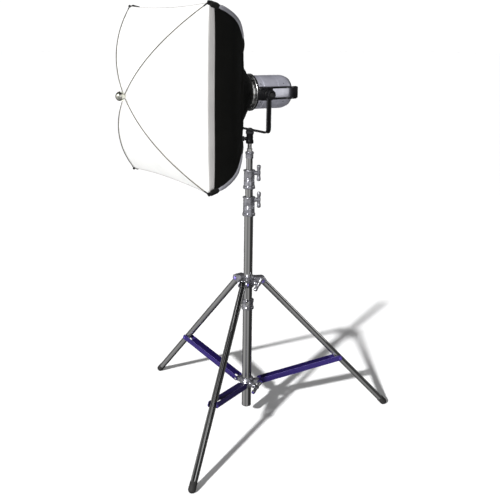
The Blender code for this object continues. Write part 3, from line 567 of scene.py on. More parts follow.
def make_tubes():
    """The four tubes of the column, and the beads and the guide at the lowest one's end."""
    for node, body in (("base_tube", "base"), ("column_tube", "root"), ("riser_1_tube", "riser_1"),
                       ("riser_2_tube", "riser_2")):
        make_tube(node, body)
    bottom = low("base_tube", 2)
    outer = radius("base_tube")
    inner = radius("column_tube") + 0.0002
    for number, (z_low, z_high, r) in enumerate(((0.0012, 0.0030, outer + 0.0006),
                                                 (0.0085, 0.0098, outer + 0.0004)), 1):
        profile = rounded([(outer - 0.0002, bottom + z_high), (r, bottom + z_high), (r, bottom + z_low),
                           (outer - 0.0002, bottom + z_low)], 0.0004)
        turned(f"base_tube_bead_{number}", profile, UP, STEEL, "chrome_tube", "base")
    plug = rounded([(inner, bottom + 0.001), (outer - 0.0008, bottom - 0.0002),
                    (outer - 0.0014, bottom - 0.0012), (inner, bottom - 0.0012)], 0.0004)
    turned("base_tube_guide", plug, UP, PLASTIC, "black_plastic", "base")


def make_collar(node, body, joint, lower, upper):
    """A cast clamp collar: a flanged mouth round the upper tube, a grooved waist and a skirt on the lower."""
    bottom = low(node, 2)
    top = high(node, 2)
    outer = radius(node)
    tube = radius(lower)
    next_tube = radius(upper)
    azimuth = azimuth_of(joint)
    groove = 0.0009
    mid = bottom + 0.55 * (top - bottom)
    body_r = outer - 0.0016
    profile = [(next_tube + 0.0004, top), (outer - 0.0020, top), (outer - 0.0006, top - 0.0008),
               (outer - 0.0006, top - 0.0046), (body_r - 0.0016, top - 0.0068)]
    for number in range(3):
        z = mid - 0.004 + 0.0050 * (1 - number)
        profile += [(body_r - 0.0010, z + 0.0013), (body_r - 0.0010 - groove, z + 0.0004),
                    (body_r - 0.0010 - groove, z - 0.0004), (body_r - 0.0010, z - 0.0013)]
    profile += [(body_r - 0.0006, bottom + 0.0125), (outer, bottom + 0.0100), (outer, bottom + 0.0015),
                (outer - 0.0012, bottom), (tube + 0.0004, bottom)]
    turned(f"{node}_casting", rounded(profile, 0.0006, 2), UP, CASTING, "cast_metal", body, (node,))
    seal = rounded([(next_tube + 0.0003, top + 0.0008), (next_tube + 0.0026, top + 0.0008),
                    (next_tube + 0.0032, top - 0.0004), (next_tube + 0.0003, top - 0.0004)], 0.0004)
    turned(f"{node}_guide", seal, UP, PLASTIC, "black_plastic", body)
    side = outward(azimuth, JOINTS[joint]["pos_m"][2])
    boss = rounded([(0.0046, outer + 0.0028), (0.0072, outer + 0.0028), (0.0086, outer + 0.0006),
                    (0.0094, outer - 0.0040), (0.0046, outer - 0.0040)], 0.0008)
    turned(f"{node}_boss", boss, side, CASTING, "cast_metal", body, steps=32)
    rivet = outward(azimuth + 180, bottom + 0.0058) @ at(0, 0, outer - 0.0002)
    screw(f"{node}_grub", rivet, 0.0026, 0.0010, STEEL, body)


def make_lever(node, base, lean, tips):
    """A cast T lever: a hub on the screw and a waisted bar, with rounded or with violet capped ends."""
    joint = f"{node}_turn"
    side = outward(azimuth_of(joint), JOINTS[joint]["pos_m"][2]) @ turn(lean, "Z")
    hub = rounded([(0, base + 0.0190), (0.0058, base + 0.0190), (0.0074, base + 0.0160),
                   (0.0074, base + 0.0060), (0.0086, base + 0.0040), (0.0086, base), (0.0040, base),
                   (0.0040, base - 0.018), (0, base - 0.018)], 0.0012)
    turned(f"{node}_hub", hub, side, CASTING, "cast_metal", node, (node,), steps=32)
    bar = side @ at(0, 0, base + 0.0120) @ turn(-90, "X")
    for number, half in enumerate((bar, bar @ turn(180, "X")), 1):
        arm = [(0, 0.0020), (0.0066, 0.0020), (0.0062, 0.0090), (0.0068, 0.0150), (0.0078, 0.0200),
               (0.0078, 0.0250)]
        if tips:
            arm += [(0.0060, 0.0256), (0, 0.0256)]
        else:
            arm += [(0.0074, 0.0280), (0.0058, 0.0302), (0.0030, 0.0312), (0, 0.0315)]
        turned(f"{node}_arm_{number}", rounded(arm, 0.0010), half, CASTING, "cast_metal", node, steps=32)
        if tips:
            cap = [(0, 0.0250), (0.0064, 0.0252), (0.0072, 0.0264), (0.0072, 0.0286), (0.0062, 0.0308),
                   (0.0034, 0.0319), (0, 0.0321)]
            turned(f"{node}_tip_{number}", rounded(cap, 0.0010), half, VIOLET, "brace_paint", node,
                   steps=32)


def make_collars():
    """The clamp collars, the T levers, and the casting on the upper riser with the light's stud."""
    make_collar("column_collar", "root", "column_knob_turn", "column_tube", "riser_1_tube")
    make_collar("riser_1_collar", "riser_1", "riser_1_knob_turn", "riser_1_tube", "riser_2_tube")
    for node, base, lean, tips in (("column_knob", 0.0260, 90, False), ("riser_1_knob", 0.0240, 90, False),
                                   ("crown_knob", 0.0505, 50, False), ("bracket_knob", 0.0505, 40, True)):
        make_lever(node, base, lean, tips)
    top = high("top_cap", 2)
    bottom = low("top_cap", 2)
    outer = radius("top_cap")
    stud = radius("spigot")
    tube = radius("riser_2_tube")
    cap = [(stud + 0.0006, top), (outer - 0.003, top), (outer, top - 0.0022), (outer, top - 0.0075),
           (outer - 0.0018, top - 0.0098), (outer - 0.0018, bottom + 0.0012),
           (outer - 0.0026, bottom), (tube + 0.0004, bottom)]
    turned("top_cap_casting", rounded(cap, 0.0008), UP, CASTING, "cast_metal", "riser_2", ("top_cap",))
    z = high("spigot", 2)
    foot = low("spigot", 2)
    neck = 0.0062
    pin = [(0, z), (stud - 0.0016, z), (stud, z - 0.0016), (stud, z - 0.0120), (neck, z - 0.0150),
           (neck, z - 0.0260), (stud, z - 0.0290), (stud, foot), (0, foot)]
    turned("spigot_turned", rounded(pin, 0.0004, 2), UP, ALLOY, "chrome_tube", "riser_2", ("spigot",))
    flats = [(0, top + 0.0120), (stud + 0.0012, top + 0.0120), (stud + 0.0024, top + 0.0108),
             (stud + 0.0024, top + 0.0002), (0, top + 0.0002)]
    hexagon("spigot_hexagon", flats, UP, ALLOY, "riser_2")


def make_base_clamp():
    """The clamp ring on the base tube: two beads, a waist, a bolted boss and its washer."""
    top = high("base_clamp", 2)
    bottom = low("base_clamp", 2)
    outer = 0.0250
    tube = radius("base_tube") + 0.0004
    column = radius("column_tube") + 0.0004
    step = high("base_tube", 2) + 0.0004
    profile = [(column, top), (outer - 0.0030, top), (outer - 0.0005, top - 0.0020),
               (outer - 0.0005, top - 0.0110), (outer - 0.0026, top - 0.0140),
               (outer - 0.0026, bottom + 0.0120), (outer, bottom + 0.0095), (outer, bottom + 0.0020),
               (outer - 0.0015, bottom), (tube, bottom), (tube, step), (column, step)]
    turned("base_clamp_casting", rounded(profile, 0.0010), UP, CASTING, "cast_metal", "base",
           ("base_clamp",))
    side = outward(-32, (top + step) / 2)
    boss = rounded([(0.0046, 0.0300), (0.0066, 0.0300), (0.0084, 0.0280), (0.0092, 0.0215),
                    (0.0046, 0.0215)], 0.0008)
    turned("base_clamp_boss", boss, side, CASTING, "cast_metal", "base", steps=32)
    washer = rounded([(0.0040, 0.0309), (0.0072, 0.0309), (0.0072, 0.0301), (0.0040, 0.0301)], 0.0003)
    turned("base_clamp_washer", washer, side, STEEL, "chrome_tube", "base", steps=32)
    bolt = [(0, 0.0345), (0.0030, 0.0345), (0.0030, 0.0355), (0.0058, 0.0355), (0.0066, 0.0348),
            (0.0066, 0.0310), (0.0040, 0.0310), (0.0040, 0.0182), (0, 0.0182)]
    hexagon("base_clamp_bolt", bolt, side, ALLOY, "base", ("base_clamp_screw",))


# ------------------------------------------------------------------------------ stand: legs and braces

def make_castings():
    """The crown and the lower bracket, with the crown's mouth and the rings of their screw bosses."""
    cast("crown_casting", "crown", CASTING, "root")
    cast("bracket_casting", "lower_bracket", CASTING, "base")
    top = high("crown", 2)
    column = radius("column_tube") + 0.0003
    ring = rounded([(column, top + 0.0012), (column + 0.0030, top + 0.0012),
                    (column + 0.0040, top - 0.0010), (column, top - 0.0010)], 0.0006)
    turned("crown_mouth", ring, UP, CASTING, "cast_metal", "root")
    reach = 0.0500
    for node, body in (("crown", "root"), ("bracket", "base")):
        joint = f"{node}_knob_turn"
        side = outward(azimuth_of(joint), JOINTS[joint]["pos_m"][2])
        ring = rounded([(0.0046, reach + 0.0002), (0.0086, reach + 0.0002), (0.0104, reach - 0.0020),
                        (0.0104, reach - 0.0060), (0.0046, reach - 0.0060)], 0.0008)
        turned(f"{node}_boss_ring", ring, side, CASTING, "cast_metal", body, steps=32)


def make_leg(number):
    """A leg tube with its domed end, a crimped ring and the ribbed rubber shoe."""
    body = f"leg_{number}"
    place, length = leg_frame(number)
    outer = 0.0125
    dome = [(outer * math.sin(math.radians(a)), outer * math.cos(math.radians(a)))
            for a in range(0, 91, 10)]
    dome[0] = (0, outer)
    end = 0.0006 - length
    bore = 0.0113
    profile = [*dome, (outer, end), (bore, end), (bore, end + 0.02), (0, end + 0.02)]
    turned(f"leg_{number}_drawn", profile, place, STEEL, "chrome_tube", body, (f"leg_{number}",), steps=48)
    collar = [(outer, -0.0140), (outer + 0.0003, -0.0144), (outer + 0.0003, -0.0152), (outer, -0.0156)]
    turned(f"leg_{number}_crimp", collar, place, STEEL, "chrome_tube", body, steps=48)
    shoe_r = 0.0140
    top = 0.026 - length
    shoe = [(outer + 0.0003, top - 0.001), (outer + 0.0003, top), (shoe_r - 0.0012, top),
            (shoe_r - 0.0002, top - 0.0014)]
    for rib in range(3):
        z = top - 0.0060 - 0.0040 * rib
        shoe += [(shoe_r - 0.0002, z + 0.0012), (shoe_r - 0.0011, z + 0.0004),
                 (shoe_r - 0.0011, z - 0.0004), (shoe_r - 0.0002, z - 0.0012)]
    shoe += [(shoe_r * math.cos(math.radians(a)), -length - shoe_r * math.sin(math.radians(a)))
             for a in range(0, 90, 10)]
    mesh = turned_mesh(f"shoe_{number}", [*shoe, (0, -length - shoe_r)], steps=48)
    mesh.transform(place)
    work = bmesh.new()
    work.from_mesh(mesh)
    cut = bmesh.ops.bisect_plane(work, geom=work.verts[:] + work.edges[:] + work.faces[:],
                                 plane_co=(0, 0, 0), plane_no=(0, 0, -1), clear_outer=True)
    rim = [part for part in cut["geom_cut"] if isinstance(part, bmesh.types.BMEdge)]
    bmesh.ops.holes_fill(work, edges=rim)
    work.to_mesh(mesh)
    work.free()
    add(f"shoe_{number}", mesh, RUBBER, body, (f"foot_cap_{number}",))


def make_leg_pin(number):
    """The pivot pin in the crown: a hexagon head on one side, a nut on the other, violet washers."""
    place, _ = leg_frame(number)
    across = place @ turn(90, "X")
    ear = 0.0180
    shank = [(0, ear + 0.001), (0.0040, ear + 0.001), (0.0040, -ear - 0.001), (0, -ear - 0.001)]
    turned(f"leg_pin_{number}_shank", shank, across, STEEL, "black_metal", "root",
           (f"leg_pin_{number}",), steps=24)
    for label, facing in (("head", across), ("nut", across @ turn(180, "X"))):
        washer = rounded([(0.0030, ear + 0.0011), (0.0074, ear + 0.0011), (0.0074, ear + 0.0003),
                          (0.0030, ear + 0.0003)], 0.0003)
        turned(f"leg_pin_{number}_{label}_washer", washer, facing, VIOLET, "brace_paint", "root", steps=32)
        head = [(0, ear + 0.0034), (0.0052, ear + 0.0034), (0.0062, ear + 0.0027), (0.0062, ear + 0.0011),
                (0, ear + 0.0011)]
        hexagon(f"leg_pin_{number}_{label}", head, facing, VIOLET, "root")


def make_brace(number):
    """A folded channel, web on top: open at its inner end for the lug and forked over the leg."""
    place, length = brace_frame(number)
    body = f"brace_{number}"
    outer = 0.0175
    wall = 0.0020
    top = 0.0150
    bottom = -0.0075
    bend = 0.0028
    left = (bend - outer, top - bend)
    right = (outer - bend, top - bend)
    ring = [(-outer, bottom), *arc(left, bend, 180, 90, 6), *arc(right, bend, 90, 0, 6), (outer, bottom),
            (outer - wall, bottom), *arc(right, bend - wall, 0, 90, 4), *arc(left, bend - wall, 90, 180, 4),
            (wall - outer, bottom)]
    past = 0.0076
    ends = (-past, length + past)
    channel = lofted(f"brace_{number}_channel", [[(x, y, z) for y, z in ring] for x in ends])
    outline = [(0.0, bottom), *arc((length, 0), 0.0075, -90, 0, 8), (length + 0.0075, 0.006),
               (length + 0.004, 0.0130), (length - 0.004, top + 0.001), (0.014, top + 0.001),
               (0.004, 0.0135), (-0.0070, 0.0060), *arc((0, 0), 0.0075, 170, 260, 8)]
    side_view = turn(90, "X")
    obj = add(f"brace_{number}_channel", channel, PURPLE, body, (f"brace_{number}",))
    trim = prism_mesh("trim", outline, -0.03, 0.03)
    trim.transform(side_view)
    boolean(obj, trim, "INTERSECT")
    gap = outer - wall - 0.0002
    boolean(obj, block_mesh("fork", (length - 0.046, -gap, -0.02), (length + 0.02, gap, 0.03), 0.0),
            "DIFFERENCE")
    boolean(obj, block_mesh("mouth", (-0.02, -gap, -0.02), (0.012, gap, 0.03), 0.0), "DIFFERENCE")
    hole = turned_mesh("hole", [(0, 0.03), (0.0042, 0.03), (0.0042, -0.03), (0, -0.03)], steps=24)
    hole.transform(side_view)
    boolean(obj, hole, "DIFFERENCE")
    obj.data.transform(place)
    obj.data.shade_smooth()
    obj.data.set_sharp_from_angle(angle=math.radians(35))
    for side in (-1, 1):
        # A lighter violet bead along each top bend: a painted highlight where the bend catches the light.
        line = [place @ Vector((x, side * (outer - 0.0016), top - 0.0010)) for x in (0.012, length - 0.004)]
        wire(f"brace_{number}_edge_{side + 2}", line, 0.0007, VIOLET, body)
        facing = place @ side_view if side > 0 else place @ side_view @ turn(180, "X")
        label = "a" if side > 0 else "b"
        far = facing @ at(length, 0, 0)
        rivet = rounded([(0, outer + 0.0029), (0.0036, outer + 0.0029), (0.0058, outer + 0.0016),
                         (0.0058, outer), (0, outer)], 0.0012)
        turned(f"brace_{number}_rivet_{label}", rivet, far, VIOLET, "brace_paint", body, steps=32)
        spacer = rounded([(0.0030, outer - wall), (0.0074, outer - wall), (0.0074, 0.0132),
                          (0.0030, 0.0132)], 0.0004)
        turned(f"brace_{number}_spacer_{label}", spacer, far, PLASTIC, "black_plastic", body, steps=32)
        near = rounded([(0, outer + 0.0029), (0.0040, outer + 0.0029), (0.0063, outer + 0.0016),
                        (0.0063, outer + 0.0004), (0, outer + 0.0004)], 0.0012)
        turned(f"bracket_pin_{number}_{label}", near, facing, VIOLET, "cast_metal", "base", steps=32)


# ------------------------------------------------------------------------------ yoke

YOKE_THICK = 0.005
YOKE_BEND = 0.018
YOKE_DEPTH = 0.020


def make_yoke():
    """A bent flat bar with rounded edges and a groove down its outer face, and an eye at each end."""
    outer = high("yoke", 0) - HEAD.x
    bar_low = low("yoke", 2)
    bar = bar_low + YOKE_THICK / 2
    centre = outer - YOKE_THICK / 2
    bend = YOKE_BEND - YOKE_THICK / 2
    top = HEAD.z - 0.010
    path = [(centre, top, 0.0)]
    path += [(centre - bend + x, bar + bend + z, angle)
             for angle, (x, z) in zip(range(0, 91, 10), arc((0, 0), bend, 0, -90, 10))]
    path += [(-x, z, 180.0 - angle) for x, z, angle in reversed(path)]
    half = YOKE_DEPTH / 2
    lip = 0.0012
    thick = YOKE_THICK / 2
    groove = 0.0008
    profile = [(-half, -thick + lip), (-half + lip, -thick), (half - lip, -thick), (half, -thick + lip),
               (half, thick - lip), (half - lip, thick), (0.0050, thick), (0.0042, thick - groove),
               (-0.0042, thick - groove), (-0.0050, thick), (-half + lip, thick), (-half, thick - lip)]
    rings = []
    for x, z, angle in path:
        out_x, out_z = polar(1.0, -angle)
        rings.append([Vector((x + out_x * w, y, z + out_z * w)) for y, w in profile])
    add("yoke_bar", lofted("yoke_bar", rings), POWDER, "yoke", ("yoke",),
        at(HEAD.x, HEAD.y, 0), 25.0)
    for side, label in SIDES:
        facing = AT_HEAD @ turn(90 * side, "Y")
        eye = rounded([(0.0058, outer), (0.0148, outer), (0.0160, outer - 0.0012),
                       (0.0160, outer - YOKE_THICK + 0.0012), (0.0148, outer - YOKE_THICK),
                       (0.0058, outer - YOKE_THICK)], 0.0008)
        turned(f"yoke_eye_{label}", eye, facing, POWDER, "black_metal", "yoke")
    bolt = rounded([(0, 0.0042), (0.0050, 0.0042), (0.0074, 0.0028), (0.0082, 0.0004), (0.0082, 0.0),
                    (0, 0.0)], 0.0008)
    on_bar = UP @ at(0, 0, bar_low + YOKE_THICK)
    turned("yoke_bolt", bolt, on_bar, POWDER, "black_metal", "yoke", steps=32)
    washer = rounded([(0.0030, 0.0011), (0.0105, 0.0011), (0.0105, 0.0001), (0.0030, 0.0001)], 0.0004)
    turned("yoke_washer", washer, on_bar, STEEL, "chrome_tube", "yoke", steps=48)


def make_receiver():
    """The block that holds the stud, with its knurled flange and its clamp knob."""
    top = high("receiver", 2)
    bottom = low("receiver", 2)
    stud = radius("spigot") + 0.0004
    roof = high("spigot", 2) + 0.002
    profile = [(0, top), (0.0138, top), (0.0150, top - 0.0012), (0.0150, top - 0.0125),
               (0.0128, top - 0.0165), (0.0128, bottom + 0.0130), (0.0145, bottom + 0.0105),
               (0.0145, bottom + 0.0012), (0.0133, bottom), (stud, bottom), (stud, roof), (0, roof)]
    turned("receiver_turned", rounded(profile, 0.0007, 2), UP, POWDER, "black_metal", "yoke",
           ("receiver",))
    knurl = [(0.0128, top - 0.0040), (0.0156, top - 0.0044), (0.0156, top - 0.0108),
             (0.0128, top - 0.0112)]
    turned("receiver_knurl", knurl, UP, POWDER, "black_metal", "yoke", steps=144, ribs=36,
           rib_depth=0.0007, rib_from=0.0140)
    side = outward(azimuth_of("receiver_knob_turn"), JOINTS["receiver_knob_turn"]["pos_m"][2])
    boss = rounded([(0.0046, 0.0185), (0.0062, 0.0185), (0.0074, 0.0165), (0.0076, 0.0110),
                    (0.0046, 0.0110)], 0.0008)
    turned("receiver_boss", boss, side, POWDER, "black_metal", "yoke", steps=32)
    knob = [(0, 0.0322), (0.0060, 0.0324), (0.0080, 0.0318), (0.0095, 0.0300), (0.0095, 0.0228),
            (0.0078, 0.0198), (0.0060, 0.0190), (0.0040, 0.0190), (0.0040, 0.0090), (0, 0.0090)]
    turned("receiver_knob_moulded", knob, side, PLASTIC, "black_plastic", "receiver_knob",
           ("receiver_knob",), steps=96, ribs=12, rib_depth=0.0009, rib_from=0.0079)


# ------------------------------------------------------------------------------ head

def make_housing():
    """The barrel: a turned shell with a front bead, a seam groove and a rounded rear shoulder."""
    outer = 0.0615
    rear = high("housing_top", 1) - HEAD.y
    edge = 0.030
    shoulder = [(outer - 0.012 * (1 - math.cos(math.radians(a))),
                 rear - edge + edge * math.sin(math.radians(a))) for a in range(0, 61, 6)]
    last_r, last_z = shoulder[-1]
    profile = [(outer - 0.0022, 0.0006), (outer - 0.0008, 0.0006), (outer, 0.0016), (outer, 0.0240),
               (outer - 0.0009, 0.0246), (outer - 0.0009, 0.0256), (outer, 0.0262), (outer, 0.0880),
               (outer - 0.0006, 0.0884), (outer - 0.0006, 0.0892), (outer, 0.0896), *shoulder,
               (last_r - 0.0006, rear - 0.0012), (last_r - 0.0020, rear), (last_r - 0.0040, rear),
               (last_r - 0.0040, rear - 0.004)]
    turned("barrel", profile, AXIAL, SILVER, "silver_housing", "head",
           ("housing_top", "housing_bottom"), steps=128, sharp=25.0)
    bezel = rounded([(last_r - 0.0006, rear - 0.0006), (last_r + 0.0004, last_z + 0.0004),
                     (last_r - 0.0014, rear + 0.0012), (last_r - 0.0040, rear + 0.0014),
                     (last_r - 0.0040, rear - 0.0006)], 0.0006)
    turned("rear_bezel", bezel, AXIAL, PLASTIC, "black_plastic", "head", steps=96)
    for side, label in ((0, "right"), (180, "left")):
        panel = [(outer - 0.0004, 0.0420), (outer + 0.0024, 0.0424), (outer + 0.0030, 0.0432),
                 (outer + 0.0030, 0.1280), (outer + 0.0024, 0.1292), (outer - 0.0004, 0.1300)]
        turned(f"side_panel_{label}", panel, AXIAL, PALE_SILVER, "silver_housing", "head",
               start=side - 14.6, sweep=29.2, steps=18, sharp=30.0)
    for number, azimuth in enumerate((32, 148, 212, 328), 1):
        for label, sunk, back, size, tall in (("screw", 0.0001, 0.0125, 0.0024, 0.0009),
                                              ("rear_screw", 0.0002, 0.1120, 0.0021, 0.0008)):
            spot = AXIAL @ turn(azimuth, "Z") @ at(outer - sunk, 0, back) @ turn(90, "Y")
            screw(f"barrel_{label}_{number}", spot, size, tall, POWDER, "head")


def make_front_ring():
    """The softbox's ring: sockets, a bright notched band, a pale rim and the black lock ring."""
    front = low("speed_ring", 1) - HEAD.y
    inner = 0.0570
    base = [(inner, front), (0.0640, front), (0.0646, front + 0.001), (0.0646, -0.0290),
            (0.0634, -0.0280), (0.0634, -0.0052), (inner, -0.0052)]
    turned("ring_base", base, AXIAL, POWDER, "black_metal", "head", ("speed_ring",), steps=96)
    band = [(0.0634, -0.0270), (0.0664, -0.0262), (0.0672, -0.0250), (0.0672, -0.0135),
            (0.0664, -0.0125), (0.0634, -0.0125)]
    turned("ring_band", band, AXIAL, ALLOY, "bare_aluminium", "head", steps=192, ribs=24,
           rib_depth=0.0009, rib_from=0.0660)
    rim = rounded([(0.0634, -0.0118), (0.0668, -0.0118), (0.0678, -0.0108), (0.0678, -0.0084),
                   (0.0668, -0.0076), (0.0634, -0.0076)], 0.0006)
    turned("ring_rim", rim, AXIAL, ALLOY, "bare_aluminium", "head", steps=96)
    lock = rounded([(0.0634, -0.0072), (0.0672, -0.0072), (0.0682, -0.0062), (0.0682, -0.0030),
                    (0.0672, -0.0022), (0.0620, -0.0022), (0.0620, -0.0052), (0.0634, -0.0052)], 0.0006)
    turned("ring_lock", lock, AXIAL, POWDER, "black_metal", "head", steps=96)
    for corner in range(4):
        frame_at = AT_HEAD @ turn(-45 - 90 * corner, "Y")
        block(f"rod_socket_{corner + 1}", (0.0600, front, -0.0065), (0.0735, -0.0195, 0.0065), frame_at,
              POWDER, "head", bevel=0.0012)
        spot = frame_at @ at(0.0735, -0.0262, 0) @ turn(90, "Y")
        screw(f"socket_screw_{corner + 1}", spot, 0.0026, 0.0012, STEEL, "head")


def make_side(side, label):
    """The trunnion block, its two rails, the boss for the yoke and the ribbed clamp knob."""
    flip = AT_HEAD if side > 0 else AT_HEAD @ turn(180, "Y")
    softened(f"side_block_{label}_moulded", f"side_block_{label}", PLASTIC, "head", 0.0012)
    across = flip @ turn(90, "Y")
    yoke_outer = high("yoke", 0) - HEAD.x
    face = yoke_outer - YOKE_THICK - 0.0002
    disc = rounded([(0.0058, face), (0.0150, face), (0.0158, face - 0.0006), (0.0158, face - 0.0010),
                    (0.0058, face - 0.0010)], 0.0003)
    turned(f"friction_disc_{label}", disc, across, RUBBER, "rubber", "head", steps=48)
    base = yoke_outer + 0.0010
    knob = [(0, base + 0.0150), (0.0085, base + 0.0150), (0.0095, base + 0.0160),
            (0.0130, base + 0.0174), (0.0158, base + 0.0166), (0.0175, base + 0.0140),
            (0.0175, base + 0.0046), (0.0150, base + 0.0008), (0.0138, base), (0.0050, base),
            (0.0050, 0.1010), (0, 0.1010)]
    turned(f"tilt_knob_{label}_moulded", knob, across, PLASTIC, "black_plastic", f"tilt_knob_{label}",
           (f"tilt_knob_{label}",), steps=144, ribs=18, rib_depth=0.0012, rib_from=0.0157)
    cap = rounded([(0, base + 0.0158), (0.0064, base + 0.0158), (0.0078, base + 0.0152),
                   (0.0078, base + 0.0149), (0, base + 0.0149)], 0.0004)
    turned(f"tilt_cap_{label}", cap, across, RUBBER, "rubber", f"tilt_knob_{label}", steps=48)
    for number, level in enumerate((-0.0200, 0.0200), 1):
        for step, back in enumerate((0.050, 0.118), 1):
            spot = flip @ at(0.0714, back, level) @ turn(90, "Y")
            screw(f"rail_screw_{label}_{number}_{step}", spot, 0.0022, 0.0009, STEEL, "head")


def make_grip():
    """The hoop behind the barrel: a rounded bar with a slot of soft ribs along its rear."""
    half = 0.0720
    rear = high("rear_grip", 1) - HEAD.y
    front = low("rear_grip", 1) - HEAD.y
    bend = 0.044
    thick = 0.0085
    tall = (high("rear_grip", 2) - low("rear_grip", 2)) / 2
    deep = thick / 2
    corner = (half - bend, rear - bend)
    path = [(half - deep, front, 0.0)]
    path += [(x, y, angle) for angle, (x, y) in zip(range(0, 91, 6), arc(corner, bend - deep, 0, 90, 16))]
    path += [(-x, y, 180.0 - angle) for x, y, angle in reversed(path)]
    edge = 0.0030
    lower_at_rear = 0.0070
    rings = []
    for x, y, angle in path:
        out_x, out_y = polar(1.0, angle)
        reach = tall - lower_at_rear * abs(out_y) ** 4 - edge
        ring = []
        for sign, first in ((1, 0), (-1, 180)):
            for a in range(first, first + 181, 30):
                w = deep * math.cos(math.radians(a))
                z = sign * reach + edge * math.sin(math.radians(a))
                ring.append(Vector((x + out_x * w, y + out_y * w, z)))
        rings.append(ring)
    add("grip_bar", lofted("grip_bar", rings), PLASTIC, "head", ("rear_grip",), AT_HEAD)
    for rib in range(9):
        x = -0.024 + 0.006 * rib
        block(f"grip_rib_{rib + 1}", (x - 0.0011, rear - 0.0012, -0.012), (x + 0.0011, rear + 0.0008, 0.012),
              AT_HEAD, RUBBER, "head", bevel=0.0006)
    for side, label in SIDES:
        for number, level in enumerate((-0.0200, 0.0200), 1):
            spot = AT_HEAD @ at(side * (half - 0.0001), front + 0.006, level) @ turn(90 * side, "Y")
            screw(f"grip_screw_{label}_{number}", spot, 0.0024, 0.0009, STEEL, "head")


def make_rear():
    """The rear panel and what stands on it."""
    softened("rear_panel_moulded", "rear_panel", PLASTIC, "head", 0.0005)
    softened("power_inlet_moulded", "power_inlet", PLASTIC, "head", 0.0004)
    softened("power_switch_rocker", "power_switch", PLASTIC, "power_switch", 0.0010)
    face = high("rear_panel", 1) - HEAD.y
    for node, size in (("focus_knob", 0.0080), ("dimmer_knob", 0.0090)):
        low_corner, high_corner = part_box(node)
        middle = (low_corner + high_corner) / 2
        place = at(middle.x, HEAD.y, middle.z) @ turn(-90, "X")
        tip = low_corner.y - HEAD.y
        back = face + 0.0005
        knob = [(0, back + 0.0120), (size - 0.0022, back + 0.0122), (size - 0.0010, back + 0.0130),
                (size, back + 0.0115), (size, back + 0.0030), (size + 0.0006, back + 0.0012),
                (size + 0.0006, back), (0.0030, back), (0.0030, tip), (0, tip)]
        turned(f"{node}_moulded", knob, place, PLASTIC, "black_plastic", node, (node,), steps=120, ribs=20,
               rib_depth=0.0006, rib_from=size - 0.0005)
        block(f"{node}_pointer", (-0.0005, -size * 0.92, back + 0.0120), (0.0005, -0.0015, back + 0.0127),
              place, PALE_SILVER, node, bevel=0.0002)
        dial = rounded([(size + 0.0022, face + 0.0004), (size + 0.0034, face + 0.0004),
                        (size + 0.0034, face - 0.0004), (size + 0.0022, face - 0.0004)], 0.0002)
        turned(f"{node}_dial", dial, place, PALE_SILVER, "silver_housing", "head", steps=64)
        for tick in range(11):
            angle = -135 + 27 * tick
            spot = place @ turn(angle, "Z")
            block(f"{node}_tick_{tick + 1}", (-0.0003, -size - 0.0058, face - 0.0003),
                  (0.0003, -size - 0.0040, face + 0.0003), spot, PALE_SILVER, "head",
                  bevel=0.0)
    socket_low, socket_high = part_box("power_inlet")
    middle = (socket_low + socket_high) / 2
    for blade, (x, z) in enumerate(((-0.0045, -0.0012), (0.0, 0.0016), (0.0045, -0.0012)), 1):
        block(f"inlet_blade_{blade}", (x - 0.0007, 0.0030, z - 0.0016), (x + 0.0007, 0.0100, z + 0.0016),
              at(middle.x, socket_low.y, middle.z), BRASS, "head", bevel=0.0003)
    for number, angle in enumerate((45, 135, 225, 315), 1):
        spot = AXIAL @ turn(angle + 8, "Z") @ at(0.0440, 0, face)
        screw(f"panel_screw_{number}", spot, 0.0020, 0.0009, STEEL, "head")


def make_inner_parts():
    """CAD nodes that stay as they are, with better materials."""
    for node, material in (("mount_ring", ALLOY), ("fresnel_lens", GLASS), ("led_module", LED_FACE),
                           ("heat_sink", ALLOY), ("fan_rotor", PLASTIC),
                           *[(f"back_rod_{corner + 1}", STEEL) for corner in range(4)]):
        NODES[node].data.materials.clear()
        NODES[node].data.materials.append(material)


# ------------------------------------------------------------------------------ softbox

FRONT = -0.340              # the front edge, behind the tilt axis
SIDE = 0.600
CORNER = SIDE / math.sqrt(2)
DOME = 0.160                # how far the white front stands out
EDGE_BOW = 0.010            # how far an edge is drawn in between two corners
RIB = ((0.074, 0.300), (0.106, 0.270), (0.160, 0.229), (0.250, 0.200), (0.345, 0.140), (0.398, 0.072),
       (0.4243, 0.0005))


def rib_point(t):
    """A smooth curve through the rib's points, as (distance from the axis, depth behind the front)."""
    spans = len(RIB) - 1
    index = min(int(t * spans), spans - 1)
    u = t * spans - index
    p1 = Vector(RIB[index])
    p2 = Vector(RIB[index + 1])
    p0 = Vector(RIB[index - 1]) if index else 2 * p1 - p2
    p3 = Vector(RIB[index + 2]) if index + 2 <= spans else 2 * p2 - p1
    return (p1 + 0.5 * u * (p2 - p0) + u * u * (p0 - 2.5 * p1 + 2 * p2 - 0.5 * p3)
            + u * u * u * (1.5 * (p1 - p2) + 0.5 * (p3 - p0)))


def corner_axes(corner):
    """Two directions at a corner of the box: out along the diagonal, and across it."""
    x, z = polar(1.0, 45 + 90 * corner)
    return Vector((x, 0, z)), Vector((-z, 0, x))


def section(reach, across, roundness, bow):
    """A point on one side of the box's cross-section, across in -1..1 between its two corners."""
    flat = Vector((across * reach / math.sqrt(2), reach / math.sqrt(2) - bow * (1 - across * across)))
    angle = math.radians(45) * across
    circle = Vector((reach * math.sin(angle), reach * math.cos(angle)))
    return flat.lerp(circle, roundness)


def shell_point(t, across):
    """A point on the shell: t is 0 at the ring and 1 at the front edge."""
    reach, depth = rib_point(t)
    roundness = min(max((depth - 0.19) / 0.09, 0.0), 1.0)
    point = section(reach, across, roundness, EDGE_BOW * (1 - roundness))
    return Vector((point.x, FRONT + depth, point.y))


